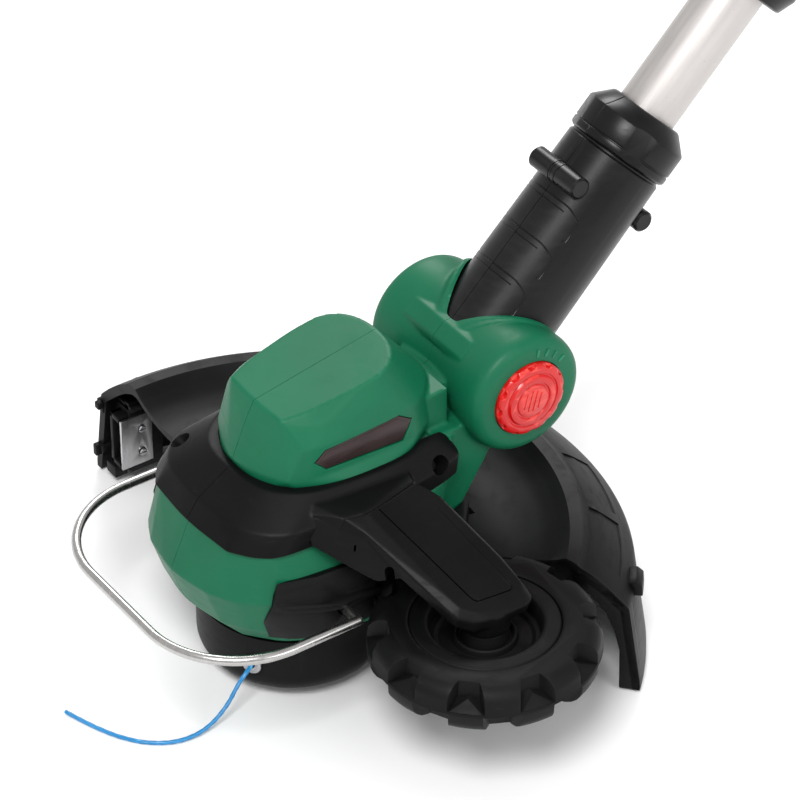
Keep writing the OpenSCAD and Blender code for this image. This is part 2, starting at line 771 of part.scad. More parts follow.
module handle_room() {
    on_shaft() {
        translate([0, 0, handle_from - 1])
            cylinder(h = upper_tube_to - handle_from + 1, r = upper_tube_r + 0.05);
        translate([-12, -16, upper_tube_to + 1]) cube([24, 22, grip_to - upper_tube_to]);
        translate([-7.5, 0, 571]) cube([15, 40, 39]);
        translate([-6.4, -40, 548]) cube([12.8, 30, 20]);
        translate([-10.2, 40, 742]) cube([20.4, 20, 40]);
        translate([-27.6, -23, 724]) cube([55.2, 68, 60]);
        translate([0, trigger_pin_at[0], trigger_pin_at[1]]) x_rod(-9, 9, 1.5);
        translate([-12, -16, grip_to - 1]) cube([24, 22, 40]);
    }
}

module handle_shell(side) {
    half_wide(side) difference() {
        handle_body();
        handle_room();
        handle_screw_rows(1.6);
    }
}
// a half space that reaches the whole handle
module half_wide(side) {
    intersection() {
        children();
        translate([side > 0 ? 0 : -100, 300, 300]) cube([100, 600, 600]);
    }
}
handle_screw_at = [[500, -17], [545, 26], [640, -17], [566, 65], [706, 50], [706, -20]];
module handle_screw_rows(r) {
    for (s = handle_screw_at) on_shaft(s[0]) translate([0, s[1], 0]) x_rod(-8, 8, r);
}
module handle_left() { color(green) handle_shell(1); }
module handle_right() { color(green) handle_shell(-1); }
module handle_screws() { color(steel) handle_screw_rows(1.6); }

module rear_grip_pad() {
    color(black) on_shaft() difference() {
        translate([0, -4, 616]) cylinder(h = 66, r = 20.2);
        translate([0, -4, 615]) cylinder(h = 68, r1 = 17.88, r2 = 18.46);
    }
}

trigger_pin_at = [8, 576];
module trigger() {
    color(red) on_shaft() difference() {
        hull() {
            translate([0, trigger_pin_at[0], trigger_pin_at[1]]) x_rod(-6.8, 6.8, 4, $fn = 32);
            translate([0, 22, 578]) x_rod(-6.8, 6.8, 4, $fn = 32);
            translate([0, 19, 604]) x_rod(-6.8, 6.8, 4, $fn = 32);
            translate([0, 10, 604]) x_rod(-6.8, 6.8, 3, $fn = 32);
        }
        translate([0, trigger_pin_at[0], trigger_pin_at[1]]) x_rod(-10, 10, 1.5 + fit);
    }
}
module trigger_pin() {
    color(steel) on_shaft() translate([0, trigger_pin_at[0], trigger_pin_at[1]]) x_rod(-9, 9, 1.5);
}
module trigger_spring() {
    color(steel) on_shaft() translate([0, 3.1, 598]) rotate([-90, 0, 0]) coil_spring(2.6, 0.4, 3.3, 2);
}
module lock_button() {
    color(black) on_shaft() hull() {
        translate([-6, -25.5, 550]) cube([12, 2, 16]);
        translate([-6, -22, 548.6]) cube([12, 6, 18.8]);
    }
}
module lock_spring() {
    color(steel) on_shaft() translate([0, -10.1, 558]) rotate([90, 0, 0]) coil_spring(2.6, 0.4, 5.8, 3);
}
module switch_body() {
    color([0.2, 0.2, 0.2]) on_shaft() translate([-7, -15, 584]) cube([14, 18, 22]);
}
module terminal_block() {
    color([0.2, 0.2, 0.2]) on_shaft() {
        translate([-12, -10, 724]) cube([24, 26, 4]);
        for (x = [-8, 0, 8]) translate([x - 0.6, -6, 728]) cube([1.2, 18, 19]);
    }
}

// ---------- battery ----------

bat_from = 739;
bat_to = 818;
module battery_case() {
    color(black) on_shaft() difference() {
        union() {
            translate([-27, -22.4, bat_from]) cube([54, 66.8, 14]);
            hull() {
                translate([-31, -27, bay_to + 0.6]) cube([62, 76, 2]);
                translate([-31, -27, bat_to - 12]) cube([62, 76, 2]);
            }
        }
        translate([-25, -20.4, bat_from + 2]) cube([50, 62.8, 90]);
        for (x = [-8, 0, 8]) translate([x - 1.5, -8, bat_from - 1]) cube([3, 22, 5]);
        translate([-10, 40, 745]) cube([20, 20, 26]);
    }
}
module battery_lid() {
    color(black) on_shaft() hull() {
        translate([-31, -27, bat_to - 9.9]) cube([62, 76, 2]);
        translate([-27, -23, bat_to]) cube([54, 68, 2]);
    }
}
module battery_cells() {
    color(blue * 0.8) on_shaft() for (y = [-10.6, 8.6, 27.8]) for (x = [-9.6, 9.6])
        if (y < 27 || x > 0) translate([x, y, bat_from + 15]) cylinder(h = 50, r = 9);
}
module battery_latch() {
    color(red) on_shaft() translate([-9.5, 42.8, 746]) cube([19, 7.6, 22]);
}
module latch_spring() {
    color(steel) on_shaft() translate([0, 38.5, 757]) rotate([-90, 0, 0]) coil_spring(3, 0.4, 4, 2);
}

// ---------- auxiliary handle ----------

module aux_clamp() {
    color(black) on_shaft(aux_at) difference() {
        hull() {
            translate([0, 0, -17]) cylinder(h = 34, r = 20, $fn = 32);
            translate([-14, -34, -13]) cube([28, 20, 26]);
        }
        translate([0, 0, -20]) cylinder(h = 40, r = upper_tube_r + 0.02);
        translate([-40, 0, -20]) cube([80, 0.8, 40]);
        translate([0, -26, 0]) x_rod(-30, 30, 3 + fit);
        for (s = [-1, 1]) translate([s * 25 - 10.7, -26, 0]) x_rod(0, 21.4, 12.5);
    }
}
module aux_bolt() {
    color(steel) on_shaft(aux_at) translate([0, -26, 0]) {
        x_rod(-28, 33, 3);
        x_rod(-31.5, -28, 6);
    }
}
module aux_handle() {
    color(black) on_shaft(aux_at) {
        for (s = [-1, 1]) difference() {
            hull() {
                translate([s > 0 ? 14.6 : -27.6, -26, 0]) x_rod(0, 13, 11, $fn = 32);
                translate([s * 48 - 7, -76, 0]) x_rod(0, 14, 8, $fn = 32);
            }
            translate([0, -26, 0]) x_rod(-60, 60, 3 + fit);
            translate([0, -26, 0]) x_rod(s > 0 ? 28 : -60, s > 0 ? 60 : -28, s > 0 ? 15 : 7);
        }
        for (s = [-1, 1]) hull() {
            translate([s * 48 - 7, -76, 0]) x_rod(0, 14, 8, $fn = 32);
            translate([s * 44 - 3, -112, 0]) x_rod(0, 6, 8, $fn = 32);
        }
        translate([0, -116, 0]) x_rod(-46, 46, 8);
    }
}
module aux_grip() {
    color(black * 1.6) on_shaft(aux_at) translate([-38, -116, 0]) rotate([0, 90, 0]) pipe(76, 11.5, 8.03);
}
module aux_knob() {
    color(red) on_shaft(aux_at) translate([28.2, -26, 0]) rotate([0, 90, 0]) difference() {
        union() {
            cylinder(h = 12, r = 13);
            cylinder(h = 14, r = 8);
        }
        for (a = [0:45:359]) rotate(a) translate([15, 0, -1]) cylinder(h = 20, r = 3.4);
        translate([0, 0, -1]) cylinder(h = 6, r = 3 + fit);
    }
}

housing_left();
housing_right();
band_left();
band_right();
wheel_arm();
badge_plate();
debris_guard();
cutter_blade();
blade_screws();
wire_guard();
housing_screws();
motor_can();
motor_end_cap();
motor_bearings();
motor_shaft();
spool_hub();
spool_cap();
line_spool();
wound_line();
bump_knob();
bump_spring();
line_eyelet();
trimmer_line();
wheel_tyre();
wheel_hub();
wheel_axle();
tilt_button();
tilt_lock_gear();
tilt_spring();
pivot_cap();
sleeve_left();
sleeve_right();
sleeve_screws();
clamp_nut();
clamp_collet();
lower_tube();
upper_nut();
upper_collet();
upper_tube();
handle_left();
handle_right();
handle_screws();
rear_grip_pad();
trigger();
trigger_pin();
trigger_spring();
lock_button();
lock_spring();
switch_body();
terminal_block();
battery_case();
battery_lid();
battery_cells();
battery_latch();
latch_spring();
aux_clamp();
aux_bolt();
aux_handle();
aux_grip();
aux_knob();
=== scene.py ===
"""String trimmer: detailed shells, guards, wheel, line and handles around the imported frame.

Shapes are written in millimetres in the row frame and scaled when a mesh is made.
"""
import json
import math

import bmesh
import bpy
from mathutils import Matrix, Vector

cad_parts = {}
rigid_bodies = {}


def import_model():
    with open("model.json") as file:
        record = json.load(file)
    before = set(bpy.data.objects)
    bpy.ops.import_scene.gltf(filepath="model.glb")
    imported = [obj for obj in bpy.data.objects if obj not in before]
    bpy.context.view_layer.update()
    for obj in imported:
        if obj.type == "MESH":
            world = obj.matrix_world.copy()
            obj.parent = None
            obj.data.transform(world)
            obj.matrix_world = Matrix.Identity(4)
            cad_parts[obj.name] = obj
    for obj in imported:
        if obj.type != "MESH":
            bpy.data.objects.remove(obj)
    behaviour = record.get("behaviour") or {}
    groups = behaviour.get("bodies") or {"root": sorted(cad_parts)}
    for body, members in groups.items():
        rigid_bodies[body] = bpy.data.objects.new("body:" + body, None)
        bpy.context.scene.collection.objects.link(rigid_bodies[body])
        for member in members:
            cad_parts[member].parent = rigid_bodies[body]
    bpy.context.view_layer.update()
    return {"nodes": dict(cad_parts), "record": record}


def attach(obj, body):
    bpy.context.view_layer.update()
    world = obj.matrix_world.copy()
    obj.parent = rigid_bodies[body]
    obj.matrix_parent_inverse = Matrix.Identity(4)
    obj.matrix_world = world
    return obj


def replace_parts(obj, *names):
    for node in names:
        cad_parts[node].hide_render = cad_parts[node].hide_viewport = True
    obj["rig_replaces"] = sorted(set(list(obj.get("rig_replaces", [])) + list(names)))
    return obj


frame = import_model()

MM = 0.001
PIVOT = Vector((0, 88, 107.5))          # the tilt axis, which runs along x
WHEEL = Vector((91.8, 28.4, 39.5))      # the centre of the wheel's lower face
TYRE_HIGH = 21                          # the tyre's width, which stands upright
SHAFT_LEAN = 45                         # degrees between the shaft and upright
TILT = 45                               # degrees of the head's tilt that the barrel leaves room for
MERGE = 2e-6                            # metres within which doubled points are one

# ---------- camera ----------

# The photograph's line of sight, as an azimuth from the front and an elevation.
AZ, EL = math.radians(55.2), math.radians(37)
look = Vector((-math.sin(AZ) * math.cos(EL), math.cos(AZ) * math.cos(EL), -math.sin(EL)))
camera = bpy.data.objects.new("camera", bpy.data.cameras.new("camera"))
bpy.context.scene.collection.objects.link(camera)
camera.location = Vector((1161.1, -754.7, 1164.1)) * MM
camera.rotation_euler = look.to_track_quat("-Z", "Y").to_euler()
camera.data.lens = 201.69
camera.data.sensor_width = 36
camera.data.clip_end = 20
bpy.context.scene.camera = camera

# ---------- mesh helpers ----------


def turned(degrees, axis):
    """The matrix of a turn round an axis."""
    return Matrix.Rotation(math.radians(degrees), 4, axis)


AT_PIVOT = Matrix.Translation(PIVOT)
AT_WHEEL = Matrix.Translation(WHEEL)
ACROSS = turned(90, "Y")                # lays a form made along z down along x
UPSIDE_DOWN = Matrix.Scale(-1, 4, (0, 0, 1))


def circle(r, sides):
    """Points round a circle in its own plane."""
    turns = [2 * math.pi * k / sides for k in range(sides)]
    return [(r * math.cos(a), r * math.sin(a)) for a in turns]


def shaft(at=0):
    """The matrix of the shaft's frame, with z up the shaft from the tilt axis."""
    return AT_PIVOT @ turned(-SHAFT_LEAN, "X") @ Matrix.Translation((0, 0, at))


def link(name, data):
    """A new object in the scene for a mesh or a lamp."""
    obj = bpy.data.objects.new(name, data)
    bpy.context.scene.collection.objects.link(obj)
    return obj


def make(name, verts, faces, matrix=None):
    """A mesh object from points in millimetres, with its faces turned outward."""
    matrix = matrix or Matrix.Identity(4)
    mesh = bpy.data.meshes.new(name)
    mesh.from_pydata([(matrix @ Vector(v)) * MM for v in verts], [], faces)
    bm = bmesh.new()
    bm.from_mesh(mesh)
    bmesh.ops.recalc_face_normals(bm, faces=bm.faces)
    bm.to_mesh(mesh)
    bm.free()
    return link(name, mesh)


def hull(points, matrix=None):
    """The convex hull of points in millimetres."""
    matrix = matrix or Matrix.Identity(4)
    bm = bmesh.new()
    for p in points:
        bm.verts.new((matrix @ Vector(p)) * MM)
    out = bmesh.ops.convex_hull(bm, input=bm.verts)
    inside = [g for g in out["geom_interior"] if isinstance(g, bmesh.types.BMVert)]
    unused = [g for g in out["geom_unused"] if isinstance(g, bmesh.types.BMVert)]
    bmesh.ops.delete(bm, geom=list(set(inside + unused)), context="VERTS")
    bmesh.ops.recalc_face_normals(bm, faces=bm.faces)
    mesh = bpy.data.meshes.new("hull")
    bm.to_mesh(mesh)
    bm.free()
    return link("hull", mesh)


def block(low, high, matrix=None):
    """A box from its two corners."""
    return hull([(x, y, z) for x in (low[0], high[0]) for y in (low[1], high[1])
                 for z in (low[2], high[2])], matrix)


def lathe(profile, matrix=None, steps=128):
    """A closed revolve of (radius, height) points about z; ends at radius 0 are poles."""
    verts, faces, rows = [], [], []
    for r, z in profile:
        start = len(verts)
        verts += [(x, y, z) for x, y in circle(r, steps if r else 1)]
        rows.append(range(start, len(verts)))
    closed = len(rows[0]) > 1 and len(rows[-1]) > 1
    pairs = list(zip(rows, rows[1:])) + ([(rows[-1], rows[0])] if closed else [])
    for a, b in pairs:
        for k in range(steps):
            n = (k + 1) % steps
            if len(a) == 1 and len(b) == 1:
                continue
            if len(a) == 1:
                faces.append((a[0], b[n], b[k]))
            elif len(b) == 1:
                faces.append((a[k], a[n], b[0]))
            else:
                faces.append((a[k], a[n], b[n], b[k]))
    return make("lathe", verts, faces, matrix)


def facing(at, out):
    """The matrix that puts the origin at a point and turns z along a direction."""
    return Matrix.Translation(at) @ Vector(out).to_track_quat("Z", "Y").to_matrix().to_4x4()


def rod(p0, p1, r, steps=64, matrix=None, bevel=0.0):
    """A cylinder between two points, with its rims broken by bevel."""
    along = Vector(p1) - Vector(p0)
    h = along.length
    rims = [(r - bevel, 0), (r, bevel), (r, h - bevel), (r - bevel, h)] if bevel else [(r, 0), (r, h)]
    return lathe([(0, 0)] + rims + [(0, h)], (matrix or Matrix.Identity(4)) @ facing(p0, along), steps)


def tube_faces(rows, n):
    """The sides and both end caps of a run of rings with n points each."""
    faces = [(i * n + k, i * n + (k + 1) % n, (i + 1) * n + (k + 1) % n, (i + 1) * n + k)
             for i in range(rows - 1) for k in range(n)]
    return faces + [tuple(range(n)), tuple((rows - 1) * n + k for k in range(n))]


def sweep(path, section):
    """A capped tube along a path; section gives the (across, up) points of a numbered ring."""
    verts = []
    up = None
    for i, q in enumerate(path):
        along = (path[min(i + 1, len(path) - 1)] - path[max(i - 1, 0)]).normalized()
        if up is None:
            up = Vector((0, 0, 1)) if abs(along.z) < 0.9 else Vector((0, 1, 0))
        across = along.cross(up).normalized()
        up = across.cross(along).normalized()
        verts += [q + across * x + up * y for x, y in section(i)]
    return make("sweep", verts, tube_faces(len(path), len(section(0))))


def prism(outline, z0, z1, matrix=None):
    """An upright prism over an outline between two heights."""
    verts = [(x, y, z) for z in (z0, z1) for x, y in outline]
    return make("prism", verts, tube_faces(2, len(outline)), matrix)


def arc(profile, a0, a1, steps):
    """A closed (radius, height) outline swept round z between two angles, with flat ends."""
    turns = [math.radians(a0 + (a1 - a0) * k / steps) for k in range(steps + 1)]
    verts = [(r * math.cos(a), r * math.sin(a), z) for a in turns for r, z in profile]
    return make("arc", verts, tube_faces(steps + 1, len(profile)))


def curve(points, steps):
    """Catmull-Rom points through an open run of points."""
    p = [Vector(q) for q in points]
    p = [p[0]] + p + [p[-1]]
    out = []
    for a, b, c, d in zip(p, p[1:], p[2:], p[3:]):
        for k in range(steps):
            t = k / steps
            out.append(0.5 * ((2 * b) + (c - a) * t + (2 * a - 5 * b + 4 * c - d) * t * t
                              + (3 * b - a - 3 * c + d) * t ** 3))
    return out + [p[-1]]


def mirrored(points, side):
    """Points on the side given by the sign, written for the +x one."""
    return [(x * side, y, z) for x, y, z in points]


def join(objs):
    """One object with the meshes of all."""
    bm = bmesh.new()
    for o in objs:
        bm.from_mesh(o.data)
        bpy.data.objects.remove(o)
    mesh = bpy.data.meshes.new("joined")
    bm.to_mesh(mesh)
    bm.free()
    return link("joined", mesh)


def bake(obj):
    """Replaces an object's mesh by its evaluated one and drops its modifiers."""
    graph = bpy.context.evaluated_depsgraph_get()
    mesh = bpy.data.meshes.new_from_object(obj.evaluated_get(graph))
    obj.modifiers.clear()
    obj.data = mesh
    return obj


def voxel(obj, size):
    """Voxel remesh at a size in millimetres; it also unites overlapping solids."""
    mod = obj.modifiers.new("voxel", "REMESH")
    mod.mode = "VOXEL"
    mod.voxel_size = size * MM
    mod.use_smooth_shade = True
    return bake(obj)


def soften(obj, times, factor):
    """Rounds a dense mesh by moving its points toward their neighbours."""
    mod = obj.modifiers.new("soften", "SMOOTH")
    mod.factor = factor
    mod.iterations = times
    return bake(obj)


def boolean(obj, others, how):
    """A boolean with closed meshes, one after the other."""
    for other in others:
        mod = obj.modifiers.new("bool", "BOOLEAN")
        mod.operation = how
        mod.solver = "MANIFOLD"
        mod.object = other
        bake(obj)
        bpy.data.objects.remove(other)
    return obj


def cut(obj, *others):
    """Takes closed meshes away."""
    return boolean(obj, others, "DIFFERENCE")


def union(objs):
    """Unites overlapping cutters, so that a boolean reads them as one solid."""
    return boolean(objs[0], objs[1:], "UNION")


def bevelled(obj, width=0.4, segments=2, angle=35):
    """Broken edges on a crisp mesh, with smooth shading between them."""
    bm = bmesh.new()
    bm.from_mesh(obj.data)
    bmesh.ops.remove_doubles(bm, verts=bm.verts, dist=MERGE)
    bmesh.ops.dissolve_limit(bm, angle_limit=math.radians(1.0), verts=bm.verts, edges=bm.edges)
    bm.to_mesh(obj.data)
    bm.free()
    mod = obj.modifiers.new("bevel", "BEVEL")
    mod.width = width * MM
    mod.segments = segments
    mod.limit_method = "ANGLE"
    mod.angle_limit = math.radians(angle)
    mod.use_clamp_overlap = True
    mod.harden_normals = False
    bake(obj)
    return shade(obj, angle)


def shade(obj, angle=35):
    """Smooth shading with sharp edges above an angle."""
    obj.data.shade_smooth()
    obj.data.set_sharp_from_angle(angle=math.radians(angle))
    return obj


def copy_node(node):
    """A free copy of a CAD node's mesh."""
    obj = link(node + "_skin", frame["nodes"][node].data.copy())
    obj.data.materials.clear()
    bm = bmesh.new()
    bm.from_mesh(obj.data)
    bmesh.ops.remove_doubles(bm, verts=bm.verts, dist=MERGE)
    bm.to_mesh(obj.data)
    bm.free()
    return obj


BODY_OF = {n: b for b, ns in frame["record"]["behaviour"]["bodies"].items() for n in ns}
SLOT_OF = {s["node"]: s["material_slot"] for s in frame["record"]["subparts"]}


def settle(obj, name, node, material):
    """Names a finished piece, gives it a finish, and rides it in place of its CAD node."""
    obj.name = name
    obj.data.name = name
    obj.data.materials.clear()
    obj.data.materials.append(material)
    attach(obj, BODY_OF[node])
    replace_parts(obj, node)


# ---------- materials ----------


def srgb(r, g, b):
    """sRGB bytes to linear colour."""
    def one(c):
        c /= 255
        return c / 12.92 if c <= 0.04045 else ((c + 0.055) / 1.055) ** 2.4
    return (one(r), one(g), one(b), 1)


class Nodes:
    """A small helper that adds nodes and links to a material."""

    def __init__(self, name):
        self.mat = bpy.data.materials.new(name)
        self.mat.use_nodes = True
        self.tree = self.mat.node_tree
        self.bsdf = self.tree.nodes["Principled BSDF"]
        self.coord = self.tree.nodes.new("ShaderNodeTexCoord").outputs["Object"]

    def link(self, a, b):
        self.tree.links.new(a, b)

    def noise(self, scale, detail=2.0, rough=0.5, stretch=None):
        """Noise over the object, drawn out by a (scale, rotation) pair where stretch is given."""
        n = self.tree.nodes.new("ShaderNodeTexNoise")
        n.inputs["Scale"].default_value = scale
        n.inputs["Detail"].default_value = detail
        n.inputs["Roughness"].default_value = rough
        vec = self.coord
        if stretch:
            m = self.tree.nodes.new("ShaderNodeMapping")
            m.inputs["Rotation"].default_value = stretch[1]
            m.inputs["Scale"].default_value = stretch[0]
            self.link(self.coord, m.inputs["Vector"])
            vec = m.outputs["Vector"]
        self.link(vec, n.inputs["Vector"])
        return n.outputs["Fac"]

    def ramp(self, value, low, high, a, b):
        """Maps low..high of a value to a..b, clamped."""
        n = self.tree.nodes.new("ShaderNodeMapRange")
        for key, v in zip(("From Min", "From Max", "To Min", "To Max"), (low, high, a, b)):
            n.inputs[key].default_value = v
        self.link(value, n.inputs["Value"])
        return n.outputs["Result"]

    def mix(self, fac, a, b):
        """Blends colour a into colour b."""
        n = self.tree.nodes.new("ShaderNodeMix")
        n.data_type = "RGBA"
        for v, key in ((fac, 0), (a, 6), (b, 7)):
            if isinstance(v, (float, int, tuple)):
                n.inputs[key].default_value = v
            else:
                self.link(v, n.inputs[key])
        return n.outputs[2]

    def math(self, op, a, b=0.0):
        n = self.tree.nodes.new("ShaderNodeMath")
        n.operation = op
        for i, v in enumerate((a, b)):
            if isinstance(v, (float, int)):
                n.inputs[i].default_value = v
            else:
                self.link(v, n.inputs[i])
        return n.outputs[0]

    def edge(self):
        """Rises to 1 on worn convex edges."""
        g = self.tree.nodes.new("ShaderNodeNewGeometry")
        return self.ramp(g.outputs["Pointiness"], 0.52, 0.6, 0, 1)

    def bump(self, heights):
        """Chains bumps of (height, strength, distance in mm)."""
        normal = None
        for height, strength, distance in heights:
            n = self.tree.nodes.new("ShaderNodeBump")
            n.inputs["Strength"].default_value = strength
            n.inputs["Distance"].default_value = distance * MM
            self.link(height, n.inputs["Height"])
            if normal:
                self.link(normal, n.inputs["Normal"])
            normal = n.outputs["Normal"]
        self.link(normal, self.bsdf.inputs["Normal"])


def plastic(name, colour, worn, rough=(0.36, 0.5), grain=1300, depth=0.05, strength=0.35, spec=0.45,
            coat=0.0, dust=0.05):
    """Moulded plastic: fine grain, uneven sheen, faint dust in patches and worn edges."""
    m = Nodes(name)
    broad, fine = m.noise(18, 3), m.noise(grain, 2, 0.6)
    scuff = m.noise(90, 5, 0.65, ((1, 1, 5), (0.6, 0.3, 0.2)))
    dark = tuple(c * 0.9 for c in colour[:3]) + (1,)
    light = tuple(min(c * 1.08 + 0.002, 1) for c in colour[:3]) + (1,)
    base = m.mix(m.ramp(broad, 0.35, 0.65, 0, 1), dark, light)
    base = m.mix(m.ramp(fine, 0.4, 0.7, 0, 0.16), base, light)
    base = m.mix(m.math("MULTIPLY", m.edge(), m.ramp(scuff, 0.35, 0.6, 0.15, 0.6)), base, worn)
    base = m.mix(m.ramp(scuff, 0.66, 0.8, 0, dust), base, (0.45, 0.43, 0.4, 1))
    m.link(base, m.bsdf.inputs["Base Color"])
    r = m.math("ADD", m.ramp(broad, 0.3, 0.7, rough[0], rough[1]), m.ramp(scuff, 0.5, 0.75, -0.02, 0.1))
    m.link(r, m.bsdf.inputs["Roughness"])
    m.bsdf.inputs["Specular IOR Level"].default_value = spec
    if coat:
        m.bsdf.inputs["Coat Weight"].default_value = coat
        m.bsdf.inputs["Coat Roughness"].default_value = 0.12
    m.bump([(fine, strength, depth), (broad, 0.15, 0.25)])
    return m.mat


def metal(name, colour, rough=(0.22, 0.36), brush=None, depth=0.02, tint=0.85):
    """Metal with drawn or brushed lines, smudges and small nicks."""
    m = Nodes(name)
    lines = m.noise(500, 3, 0.6, brush or ((1, 1, 0.05), (0, 0, 0)))
    smudge, nick = m.noise(35, 4), m.noise(700, 2, 0.7)
    dull = tuple(c * tint for c in colour[:3]) + (1,)
    base = m.mix(m.ramp(lines, 0.3, 0.7, 0, 1), dull, colour)
    base = m.mix(m.ramp(nick, 0.7, 0.78, 0, 0.4), base, tuple(c * 0.5 for c in colour[:3]) + (1,))
    m.link(base, m.bsdf.inputs["Base Color"])
    m.bsdf.inputs["Metallic"].default_value = 1.0
    r = m.math("ADD", m.ramp(smudge, 0.3, 0.7, rough[0], rough[1]), m.ramp(lines, 0.3, 0.7, -0.04, 0.04))
    m.link(r, m.bsdf.inputs["Roughness"])
    m.bump([(lines, 0.3, depth), (nick, 0.15, 0.03)])
    return m.mat


GREEN = plastic("green_moulded", srgb(8, 94, 64), srgb(50, 138, 104), rough=(0.42, 0.5), strength=0.2,
                spec=0.22)
BLACK = plastic("black_moulded", srgb(5, 5, 6), srgb(28, 28, 30), rough=(0.42, 0.52), strength=0.45,
                spec=0.13, dust=0.02)
SATIN = plastic("black_satin", srgb(5, 5, 6), srgb(28, 28, 30), rough=(0.3, 0.4), strength=0.2, spec=0.26,
                dust=0.02)
TREAD = plastic("tread_moulded", srgb(8, 8, 9), srgb(34, 33, 32), rough=(0.48, 0.6), grain=900,
                strength=0.45, spec=0.14, dust=0.03)
RED = plastic("red_gloss", srgb(192, 5, 6), srgb(236, 84, 74), rough=(0.26, 0.34), grain=600, strength=0.05,
              spec=0.4, coat=0.2, dust=0.0)
BADGE = plastic("badge_satin", srgb(36, 22, 24), srgb(76, 60, 60), rough=(0.34, 0.42), grain=1800, spec=0.3,
                dust=0.02)
INNER = plastic("inner_plastic", srgb(40, 40, 42), srgb(80, 80, 82))
SOFT = plastic("soft_overmould", srgb(8, 8, 8), srgb(30, 30, 30), rough=(0.6, 0.75), grain=800,
               strength=0.7, depth=0.1, spec=0.2)
SPOOL = plastic("spool_plastic", srgb(28, 66, 84), srgb(70, 110, 130))
CELL = plastic("cell_sleeve", srgb(26, 108, 158), srgb(90, 160, 200), rough=(0.2, 0.3))
LINE = plastic("line_nylon", srgb(2, 118, 178), srgb(120, 200, 240), rough=(0.25, 0.38), grain=500,
               strength=0.2, coat=0.2, dust=0.0)
TUBE = metal("tube_satin", (0.6, 0.57, 0.555, 1), rough=(0.44, 0.54), brush=((1, 0.04, 0.04), (0.785, 0, 0)))
WIRE = metal("wire_drawn", (0.5, 0.49, 0.48, 1), rough=(0.2, 0.34))
STEEL = metal("steel_plain", (0.5, 0.5, 0.51, 1), rough=(0.25, 0.4))
SPRING = metal("spring_drawn", (0.6, 0.61, 0.63, 1))
MOTOR = metal("motor_plated", (0.62, 0.62, 0.64, 1), rough=(0.28, 0.38))
COPPER = metal("rotor_copper", (0.72, 0.42, 0.24, 1), rough=(0.3, 0.42))

# The finish of each material slot in the record.
FINISH = {"green_plastic": GREEN, "black_plastic": BLACK, "dark_inner_plastic": INNER, "red_plastic": RED,
          "badge": BADGE, "soft_grip": SOFT, "tyre": TREAD, "tube_metal": TUBE, "wire_steel": WIRE,
          "steel": STEEL, "spring_steel": SPRING, "motor_steel": MOTOR, "copper_rotor": COPPER,
          "blue_line": LINE, "spool_plastic": SPOOL, "cell_sleeve": CELL}

# ---------- cutting line ----------

# The route is part.scad's own, from the eyelet to the bare end.
ROUTE = [
    (20.9, -33, 18), (22.5, -35.6, 18), (23.6, -38.4, 16.9), (24, -41.2, 14.6), (25, -44.2, 12.2),
    (26, -47.4, 9.4), (26.8, -51, 6.8), (27.4, -54.8, 4.6), (27.8, -58.8, 3), (27.8, -62.8, 1.9),
    (27.4, -66.8, 1.3), (26.6, -70.6, 1), (25.2, -74.4, 0.9), (23.2, -78, 0.9), (20.6, -81.4, 0.9),
    (17.4, -84.6, 0.9), (13.6, -87.4, 0.9), (9.4, -90, 0.9), (4.8, -92.2, 0.9), (0, -94.2, 0.9),
    (-5, -96, 0.9), (-10, -97.6, 0.9), (-14, -98.8, 0.9)
]
LINE_R = 0.9


def line_section(i):
    """A four-lobed ring, turned a little further at each point so that the lobes wind round."""
    turns = [2 * math.pi * k / 16 for k in range(16)]
    radii = [LINE_R * (0.93 + 0.07 * math.cos(4 * (w + 0.28 * i))) for w in turns]
    return [(r * math.cos(w), r * math.sin(w)) for r, w in zip(radii, turns)]


line_path = curve(ROUTE, 6)
line = sweep(line_path, line_section)
line.data.shade_smooth()
settle(line, "cutting_line", "trimmer_line", LINE)

# ---------- outlines of the head ----------


def ring(points, corners=(), steps=8):
    """A closed smooth outline through points of its +x half, front to back, sharp at corners."""
    p = [Vector(q) for q in points] + [Vector((-x, y)) for x, y in reversed(points) if x > 0]
    n = len(p)
    sharp = set(corners) | {(n - c) % n for c in corners if points[c][0] > 0}
    out = []
    for i in range(n):
        b, c = p[i], p[(i + 1) % n]
        tb = (c - b) if i in sharp else (c - p[i - 1]) * 0.5
        tc = (c - b) if (i + 1) % n in sharp else (p[(i + 2) % n] - b) * 0.5
        for k in range(steps):
            t = k / steps
            h = (2 * t ** 3 - 3 * t * t + 1, t ** 3 - 2 * t * t + t, -2 * t ** 3 + 3 * t * t, t ** 3 - t * t)
            v = b * h[0] + tb * h[1] + c * h[2] + tc * h[3]
            out.append((v.x, v.y))
    return out


def level(points, z, corners=(), slope=0.0, scale=1.0):
    """An outline at a height, tilted by a slope along y."""
    return [(x * scale, y * scale, z + slope * (y + 17)) for x, y in ring(points, corners)]


